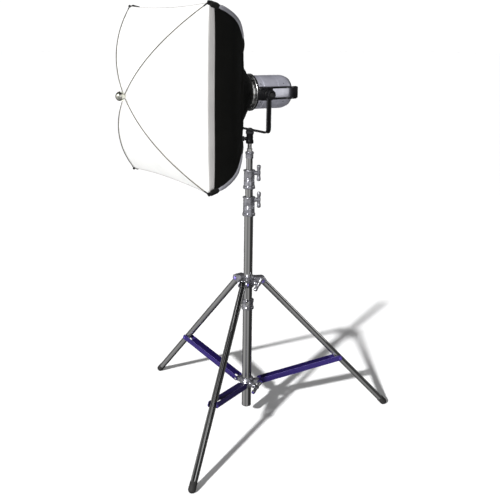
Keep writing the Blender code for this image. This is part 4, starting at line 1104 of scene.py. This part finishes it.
def shell_skin(t, across, lift):
    """A point at this height above the shell's cloth."""
    step = 0.002
    t = min(max(t, 0.0), 1.0)
    along = shell_point(min(t + step, 1.0), across) - shell_point(max(t - step, 0.0), across)
    over = shell_point(t, min(across + step, 1.0)) - shell_point(t, max(across - step, -1.0))
    return shell_point(t, across) + along.cross(over).normalized() * lift


def front_point(s, quarter, across):
    """A point on the white front: s is 0 at the hub and 1 at the rim."""
    flat = section(CORNER * s, across, 0.0, EDGE_BOW * s)
    point = Vector((flat.x, FRONT - 0.0006 - DOME * (1 - s * s), flat.y))
    return turn(-90 * quarter, "Y") @ point


def cloth_mesh(name, rows, cyclic=False):
    """A mesh through rows of points, with UVs that run in metres along and across it."""
    width = len(rows[0])
    verts = [point for row in rows for point in row]
    faces = []
    uvs = []
    middle = width // 2
    along = [0.0]
    for before, here in zip(rows, rows[1:]):
        along.append(along[-1] + (here[middle] - before[middle]).length)
    across = []
    for row in rows:
        run = [0.0]
        for before, here in zip(row, [*row[1:], row[0]]):
            run.append(run[-1] + (here - before).length)
        shift = run[middle]
        across.append([value - shift for value in run])
    for r in range(len(rows) - 1):
        for c in range(width if cyclic else width - 1):
            d = (c + 1) % width
            faces.append((r * width + c, r * width + d, (r + 1) * width + d, (r + 1) * width + c))
            uvs += [(across[r][c], along[r]), (across[r][c + 1], along[r]),
                    (across[r + 1][c + 1], along[r + 1]), (across[r + 1][c], along[r + 1])]
    mesh = bpy.data.meshes.new(name)
    mesh.from_pydata([tuple(vert) for vert in verts], [], faces)
    layer = mesh.uv_layers.new(name="cloth")
    for loop, uv in zip(layer.data, uvs):
        loop.uv = uv
    return mesh


def cloth(name, rows, material, nodes=(), place=AT_HEAD, thickness=0.0008, cyclic=False):
    """A thin sheet on the head, through rows of points."""
    obj = add(name, cloth_mesh(name, rows, cyclic), material, "head", nodes, place, sharp=180.0)
    skin = obj.modifiers.new("cloth", "SOLIDIFY")
    skin.thickness = thickness
    skin.offset = 0.0
    return obj


def stitches(name, points, material, place=AT_HEAD):
    """A row of stitches along a line of points, as one mesh of small four-sided beads."""
    length = 0.0026
    gap = 0.0014
    thick = 0.00035
    lengths = [(b - a).length for a, b in zip(points, points[1:])]
    total = sum(lengths)
    verts = []
    faces = []
    start = gap / 2
    index = 0
    before = 0.0
    while start + length < total:
        ends = []
        for distance in (start, start + length):
            while before + lengths[index] < distance and index < len(lengths) - 1:
                before += lengths[index]
                index += 1
            ends.append(points[index].lerp(points[index + 1], (distance - before) / lengths[index]))
        direction = (ends[1] - ends[0]).normalized()
        side = direction.orthogonal().normalized()
        other = direction.cross(side)
        first = len(verts)
        for share, swell in ((0.0, 0.3), (0.2, 1.0), (0.8, 1.0), (1.0, 0.3)):
            centre = ends[0].lerp(ends[1], share)
            verts += [centre + (side * math.cos(a) + other * math.sin(a)) * thick * swell
                      for a in (0.0, 1.571, 3.142, 4.712)]
        for ring in range(3):
            for step in range(4):
                after = (step + 1) % 4
                base = first + ring * 4
                faces.append((base + step, base + after, base + 4 + after, base + 4 + step))
        start += length + gap
    return add(name, mesh_of(name, verts, faces), material, "head", (), place)


def seam_frame(t):
    """On a rib: the point, the direction along it and the direction out of the box, in its own plane."""
    step = 0.004
    here = rib_point(min(max(t, 0.0), 1.0))
    along = (rib_point(min(t + step, 1.0)) - rib_point(max(t - step, 0.0))).normalized()
    if along.x < 0:
        along = -along
    return here, along, Vector((-along.y, along.x))


def seam_strip(name, corner, t_from, t_to, width, height, material, past=0.0, steps=40, lift=0.0):
    """A padded strip over a rib, with a flat half-oval section that closes at both ends."""
    radial, side = corner_axes(corner)
    rows = []
    for step in range(steps + 1):
        share = step / steps
        here, along, out = seam_frame(t_from + (t_to - t_from) * share)
        taper = min(1.0, 0.30 + 2.2 * share, 0.40 + 5.0 * (1 - share))
        if step == steps:
            here = here + along * past
        row = []
        for angle_step in range(13):
            a = math.pi * angle_step / 12
            offset = side * (width / 2 * math.cos(a) * taper)
            rise = lift + height * math.sin(a) * taper - 0.0016 * abs(math.cos(a)) ** 3
            rise -= abs(width / 2 * math.cos(a)) * 0.42
            point = here + out * rise
            row.append(radial * point.x + Vector((0, FRONT + point.y, 0)) + offset)
        rows.append(row)
    return cloth(name, rows, material, thickness=0.0010)


def wrinkle(t, across, quarter):
    """How far the shell's cloth stands off its drawn shape: creases from the rods and the ring."""
    edge = (1 - abs(across)) * 6.0
    calm = min(1.0, edge) * min(1.0, t * 14.0) * min(1.0, (1 - t) * 9.0)
    place = Vector((across * 3.0 + quarter * 7.1, t * 1.2, 0.7 * quarter))
    fold = noise.noise(place) * 0.0022
    ripple = noise.noise(Vector((across * 11.0 + quarter * 3.7, t * 2.2, 4.0))) * 0.0009 * (1.3 - t)
    return calm * (fold + ripple)


def lip_place(across, share):
    """Where the lip, white cloth painted grey as shade, is on the shell: share is 0 at the front edge and 1
    at the lip's hem.
    """
    return 1.0 - 0.062 * (1 - 0.30 * abs(across) ** 4) * share


def make_shell():
    """Four black panels, with the lip (white cloth painted grey as shade), the hems, the seams' piping and
    rows of stitching.
    """
    panels = {}
    for quarter, label in enumerate(("top", "right", "bottom", "left")):
        place = AT_HEAD @ turn(90 * quarter, "Y")
        across = [c / 24 - 1 for c in range(49)]
        rows = [[shell_skin(step / 84, c, wrinkle(step / 84, c, quarter)) for c in across]
                for step in range(85)]
        panel = cloth(f"shell_panel_{label}", rows, SHELL_CLOTH, (f"shell_{label}",), place,
                      0.0010)
        # The lip: painted shade, white cloth given a grey colour where it turns back from the front.
        rows = [[shell_skin(lip_place(c, step / 8), c * 0.992, 0.0013 + 0.0006 * math.sin(math.pi * step / 8))
                 for c in across] for step in range(9)]
        pieces = [cloth(f"lip_{label}", rows, SHADED_LIP_CLOTH, place=place, thickness=0.0009)]
        for line, share in enumerate((0.06, 0.90), 1):
            points = [shell_skin(lip_place(c / 30 - 1, share), (c / 30 - 1) * 0.97, 0.0022)
                      for c in range(61)]
            pieces.append(stitches(f"lip_stitch_{label}_{line}", points, PALE_THREAD,
                                   place))
        # The front piping is in the lip's cloth, painted grey as shade.
        edge = [place @ (shell_skin(1.0, c, 0.0010) + Vector((0, -0.0006, 0))) for c in across]
        pieces.append(wire(f"front_piping_{label}", edge, 0.0013, SHADED_LIP_CLOTH, "head"))
        along = [0.05 + 0.85 * step / 60 for step in range(61)]
        for line, side in enumerate((-1, 1), 1):
            points = [shell_skin(t, side * (1 - 0.010 / shell_half(t)), 0.0012) for t in along]
            pieces.append(stitches(f"seam_stitch_{label}_{line}", points, THREAD, place))
        panels[label] = (panel, pieces)
    return panels


def shell_half(t):
    """Half the width of a panel at this place along it."""
    return (shell_point(t, 1.0) - shell_point(t, 0.0)).length


def make_seams(panels):
    """Sleeves, pockets and rod tips on the four ribs, and the hem round the ring."""
    labels = ("top", "left", "bottom", "right")
    for corner in range(4):
        pieces = panels[labels[corner]][1]
        name = f"seam_{corner + 1}"
        pieces.append(seam_strip(f"{name}_sleeve", corner, 0.545, 0.930, 0.0170, 0.0046, SLEEVE_CLOTH,
                                 lift=0.0022))
        pieces.append(seam_strip(f"{name}_pocket", corner, 0.905, 1.0, 0.0250, 0.0064, WEBBING,
                                 past=0.0050, lift=0.0030))
        pieces.append(seam_strip(f"{name}_piping", corner, 0.01, 0.565, 0.0075, 0.0030, WEBBING,
                                 lift=0.0012, steps=60))
        radial, across = corner_axes(corner)
        for shift, label in ((-0.0062, "b"), (0.0062, "a")):
            points = []
            for step in range(41):
                here, _, out = seam_frame(0.56 + 0.345 * step / 40)
                point = here + out * 0.0042
                points.append(radial * point.x + Vector((0, FRONT + point.y, 0)) + across * shift)
            pieces.append(stitches(f"{name}_stitch_{label}", points, THREAD))
        frame_at = AT_HEAD @ turn(-45 - 90 * corner, "Y")
        tip = rounded([(0, 0.0085), (0.0042, 0.0085), (0.0050, 0.0050), (0.0050, -0.0040),
                       (0.0030, -0.0060), (0, -0.0060)], 0.0020)
        lean = frame_at @ at(CORNER - 0.001, FRONT - 0.0015, 0) @ turn(78, "Y") @ turn(14, "X")
        turned(f"rod_tip_{corner + 1}", tip, lean, PLASTIC, "black_plastic", "head", steps=32)
    hem_r, hem_depth = RIB[0]
    steps = 144
    rows = []
    for step in range(steps):
        angle = math.tau * step / steps
        gather = 0.0007 * math.sin(36 * angle) + 0.0005 * math.sin(17 * angle + 1.0)
        swell = 0.0030 + gather
        rows.append([Vector(((hem_r + swell * math.cos(a)) * math.cos(angle),
                             FRONT + hem_depth - 0.001 + 1.5 * swell * math.sin(a),
                             (hem_r + swell * math.cos(a)) * math.sin(angle)))
                     for a in (math.tau * k / 12 for k in range(12))])
    rows.append(rows[0])
    hem = add("ring_hem", cloth_mesh("ring_hem", rows, cyclic=True), WEBBING, "head",
              place=AT_HEAD, sharp=180.0)
    panels["bottom"][1].append(hem)


def make_front():
    """The white front with its diagonal tapes, hub patch, stitching, bows and chrome hub."""
    rings = 72
    count = 30
    rows = []
    for ring in range(rings):
        s = 1 - ring / rings
        row = []
        for quarter in range(4):
            for c in range(count):
                across = 1 - 2 * c / count
                point = front_point(s, quarter, across)
                pucker = max(0.0, 1 - s * CORNER / 0.075)
                fold = pucker * pucker * 0.0016 * math.cos(math.radians(45 * across) * 9)
                taut = 0.0030 * math.sin(math.pi * s) * (1 - abs(across)) ** 2
                crease = 0.0012 * noise.noise(Vector((across * 2.0 + 5.0 * quarter, s * 3.0, 1.0)))
                edge = min(1.0, (1 - s) * 12.0) * min(1.0, (1 - abs(across)) * 5.0)
                point.y += taut + fold + crease * edge
                row.append(point)
        rows.append(row)
    # The front cloth carries a faint painted glow.
    front = cloth("front_cloth", rows, FRONT_CLOTH, ("front_diffuser",),
                  thickness=0.0007, cyclic=True)
    pieces = []
    for corner in range(4):
        radial, side = corner_axes(corner)
        tape = []
        lines = ([], [])
        for step in range(73):
            s = 0.07 + 0.925 * step / 72
            centre = radial * CORNER * s + Vector((0, FRONT - 0.0006 - DOME * (1 - s * s), 0))
            tape.append([centre + side * w + Vector((0, -0.0009 + abs(w) * 0.02, 0))
                         for w in (-0.0055, -0.0028, 0.0, 0.0028, 0.0055)])
            for line, w in zip(lines, (-0.0040, 0.0040)):
                line.append(centre + side * w + Vector((0, -0.0015, 0)))
        # The tapes are in the darker tape cloth, a painted shade.
        pieces.append(cloth(f"front_tape_{corner + 1}", tape, SHADED_TAPE_CLOTH, thickness=0.0006))
        for line, label in zip(lines, "ab"):
            pieces.append(stitches(f"front_stitch_{corner + 1}_{label}", line, PALE_THREAD))
        points = []
        for step in range(49):
            s = 1.004 - 0.972 * step / 48
            slope = 2 * DOME * s / CORNER
            lift = 0.0034 / math.hypot(1, slope)
            points.append(AT_HEAD @ (radial * (CORNER * s + lift * slope)
                                     + Vector((0, FRONT - DOME * (1 - s * s) - lift, 0))))
        points.append(AT_HEAD @ Vector((0, FRONT - DOME - 0.0150, 0)))
        wire(f"bow_{corner + 1}", points, 0.0015, WIRE, "head")
        wire(f"bow_ferrule_{corner + 1}", points[:3], 0.0024, PLASTIC, "head")
    patch = []
    for ring in range(8):
        r = 0.010 + 0.0034 * ring
        patch.append([Vector((r * math.cos(math.tau * k / 64),
                              FRONT - DOME - 0.0016 + DOME * (r / 0.36) ** 2
                              + 0.0012 * (r / 0.034) * math.cos(math.tau * k / 8),
                              r * math.sin(math.tau * k / 64))) for k in range(64)])
    # The hub patch is in the darker tape cloth, a painted shade.
    pieces.append(cloth("hub_patch", patch, SHADED_TAPE_CLOTH, thickness=0.0007, cyclic=True))
    ring = [Vector((0.0305 * math.cos(math.tau * k / 64), FRONT - DOME - 0.0012 + DOME * (0.0305 / 0.36) ** 2
                    + 0.0011 * math.cos(math.tau * k / 8), 0.0305 * math.sin(math.tau * k / 64)))
            for k in range(65)]
    pieces.append(stitches("hub_patch_stitch", ring, PALE_THREAD))
    reach = 0.0160
    ball = [(0, reach), *[polar(reach, 90 - a) for a in range(5, 91, 5)]]
    ball += [(0.0151, -0.0002), (0.0151, -0.0016)]
    ball += [polar(reach, 90 - a) for a in range(97, 150, 6)]
    ball += [(0.0090, -0.0150), (0.0090, -0.0165), (0, -0.0165)]
    hub_at = AT_HEAD @ at(0, FRONT - DOME - 0.018, 0) @ turn(90, "X")
    turned("hub_ball", ball, hub_at, CHROME, "bare_aluminium", "head", ("front_bows",), steps=64)
    for corner in range(4):
        cup = rounded([(0, 0.0215), (0.0024, 0.0215), (0.0030, 0.0200), (0.0036, 0.0150), (0, 0.0150)],
                      0.0006)
        spot = hub_at @ turn(45 + 90 * corner, "Z") @ turn(105, "Y")
        turned(f"hub_cup_{corner + 1}", cup, spot, CHROME, "bare_aluminium", "head", steps=24)
    return front, pieces


# ------------------------------------------------------------------------------ light and camera

# The room that shines back: a level at each end, and (position or bearing, level) stops between.
ROOM_TINT = (1.0, 0.995, 0.985)
HEIGHT_ENDS = (0.22, 0.04)
HEIGHTS = ((0.34, 0.36), (0.47, 0.46), (0.56, 0.62), (0.66, 0.40), (0.76, 0.08), (0.905, 0.02),
           (0.914, 0.50), (0.924, 0.50), (0.933, 0.02))
BEARING_ENDS = (0.35, 0.35)
BEARINGS = ((-140, 0.6), (-125, 1.5), (-85, 1.4), (-70, 0.75), (-40, 0.85), (-25, 1.3), (0, 1.1),
            (12, 0.16), (84, 0.08), (92, 0.8), (98, 0.8), (106, 0.1), (150, 0.15))


def gray_ramp(tree, factor, ends, stops, tint=(1.0, 1.0, 1.0)):
    """Grey levels along a factor; the tint is on the stops between the ends."""
    node = tree.nodes.new("ShaderNodeValToRGB")
    colors = node.color_ramp.elements
    for stop, position, level in ((colors[0], 0.0, ends[0]), (colors[1], 1.0, ends[1])):
        stop.position = position
        stop.color = (level, level, level, 1.0)
    for position, level in stops:
        stop = colors.new(position)
        stop.color = (*[level * share for share in tint], 1.0)
    tree.links.new(factor, node.inputs["Fac"])
    return node.outputs["Color"]


def make_world():
    """Plain white to the camera, an even grey as fill, and a banded room for what shines."""
    world = bpy.data.worlds.new("studio")
    bpy.context.scene.world = world
    world.use_nodes = True
    tree = world.node_tree
    tree.nodes.clear()
    plain, fill, room = [tree.nodes.new("ShaderNodeBackground") for _ in range(3)]
    for background, strength in ((plain, 1.05), (fill, 0.15)):
        background.inputs["Color"].default_value = (1.0, 1.0, 1.0, 1.0)
        background.inputs["Strength"].default_value = strength
    coords = tree.nodes.new("ShaderNodeTexCoord")
    parts = tree.nodes.new("ShaderNodeSeparateXYZ")
    tree.links.new(coords.outputs["Generated"], parts.inputs["Vector"])
    up = remap(tree, parts.outputs["Z"], -1.0, 1.0, 0.0, 1.0)
    by_height = gray_ramp(tree, up, HEIGHT_ENDS, HEIGHTS, ROOM_TINT)
    bearing = calculate(tree, "ARCTAN2", parts.outputs["Y"], parts.outputs["X"])
    around = remap(tree, bearing, -math.pi, math.pi, 0.0, 1.0)
    by_bearing = gray_ramp(tree, around, BEARING_ENDS,
                           [(0.5 + degrees / 360.0, level) for degrees, level in BEARINGS])
    combined = tree.nodes.new("ShaderNodeMix")
    combined.data_type = "RGBA"
    combined.blend_type = "MULTIPLY"
    combined.inputs["Factor"].default_value = 1.0
    tree.links.new(by_height, combined.inputs[6])
    tree.links.new(by_bearing, combined.inputs[7])
    tree.links.new(combined.outputs[2], room.inputs["Color"])
    rays = tree.nodes.new("ShaderNodeLightPath")
    light = fill.outputs[0]
    for ray, background in (("Is Glossy Ray", room), ("Is Camera Ray", plain)):
        mixed = tree.nodes.new("ShaderNodeMixShader")
        tree.links.new(rays.outputs[ray], mixed.inputs["Fac"])
        tree.links.new(light, mixed.inputs[1])
        tree.links.new(background.outputs[0], mixed.inputs[2])
        light = mixed.outputs[0]
    output = tree.nodes.new("ShaderNodeOutputWorld")
    tree.links.new(light, output.inputs["Surface"])


def area_light(name, location, target, size, power, color=(1, 1, 1)):
    data = bpy.data.lights.new(name, "AREA")
    data.shape = "RECTANGLE"
    data.size = size[0]
    data.size_y = size[1]
    data.energy = power
    data.color = color
    obj = bpy.data.objects.new(name, data)
    obj.location = location
    obj.rotation_euler = (Vector(target) - Vector(location)).to_track_quat("-Z", "Y").to_euler()
    bpy.context.scene.collection.objects.link(obj)
    return obj


ABOVE_CROWN = 0.75


def make_stage():
    """Floor, main light and soft lights.  What stands above the crown doesn't block the main light."""
    make_world()
    material, tree, shader, coords = start_material("pale_floor")
    drift = link_noise(tree, coords.outputs["Object"], 0.6, 2.0)
    tree.links.new(blend_colors(tree, drift, (0.93, 0.93, 0.935), (0.95, 0.95, 0.95)),
                   shader.inputs["Base Color"])
    shader.inputs["Roughness"].default_value = 0.95
    shader.inputs["Specular IOR Level"].default_value = 0.05
    mesh = bpy.data.meshes.new("floor")
    half = 60.0
    mesh.from_pydata([(-half, -half, 0), (half, -half, 0), (half, half, 0), (-half, half, 0)], [],
                     [(0, 1, 2, 3)])
    mesh.materials.append(material)
    floor = bpy.data.objects.new("floor", mesh)
    floor.location.z = -0.0004
    floor.visible_glossy = False
    bpy.context.scene.collection.objects.link(floor)
    sun = bpy.data.lights.new("main_light", "SUN")
    sun.energy = 6.3
    sun.angle = math.radians(2.6)
    lamp = bpy.data.objects.new("main_light", sun)
    lamp.rotation_euler = Vector((0.431, -0.768, 0.474)).to_track_quat("Z", "Y").to_euler()
    bpy.context.scene.collection.objects.link(lamp)
    casting = bpy.data.collections.new("casting_shadows")
    for obj in bpy.context.scene.objects:
        lowest = min(corner[2] for corner in obj.bound_box)
        if obj.type == "MESH" and obj != floor and lowest < ABOVE_CROWN and not obj.name.startswith("riser_"):
            casting.objects.link(obj)
    lamp.light_linking.blocker_collection = casting
    centre = COLUMN + Vector((0, 0, 0.9))
    key = area_light("key", centre + Vector((-0.6, -3.2, 2.2)), centre, (2.2, 2.2), 9.0)
    key.visible_glossy = False
    area_light("side", centre + Vector((3.4, -0.4, 1.2)), centre, (1.2, 2.6), 9.0)
    area_light("rim", centre + Vector((1.2, 3.2, 1.6)), centre, (1.4, 2.4), 12.0)


def make_camera():
    azimuth = math.radians(58.0)
    pitch = math.radians(15.31)
    roll = 0.0135
    forward = Vector((-math.sin(azimuth) * math.cos(pitch), math.cos(azimuth) * math.cos(pitch),
                      -math.sin(pitch)))
    right = Vector((math.cos(azimuth), math.sin(azimuth), 0))
    up = right.cross(forward)
    level_right = right * math.cos(roll) + up * math.sin(roll)
    level_up = up * math.cos(roll) - right * math.sin(roll)
    data = bpy.data.cameras.new("camera")
    data.lens = 56.86
    data.sensor_width = 36.0
    camera = bpy.data.objects.new("camera", data)
    camera.matrix_world = Matrix.Translation(COLUMN + Vector((2.5332, -1.5751, 1.5294))) @ Matrix(
        (level_right, level_up, -forward)).transposed().to_4x4()
    bpy.context.scene.collection.objects.link(camera)
    bpy.context.scene.camera = camera
    bpy.context.scene.view_settings.view_transform = "Standard"


# ------------------------------------------------------------------------------ put together

def main():
    make_tubes()
    make_collars()
    make_base_clamp()
    make_castings()
    for number in LEGS:
        make_leg(number)
        make_leg_pin(number)
        make_brace(number)
    make_yoke()
    make_receiver()
    make_housing()
    make_front_ring()
    for side, label in ((1, "right"), (-1, "left")):
        make_side(side, label)
    make_grip()
    make_rear()
    make_inner_parts()
    panels = make_shell()
    make_seams(panels)
    front, pieces = make_front()
    make_stage()
    make_camera()


main()
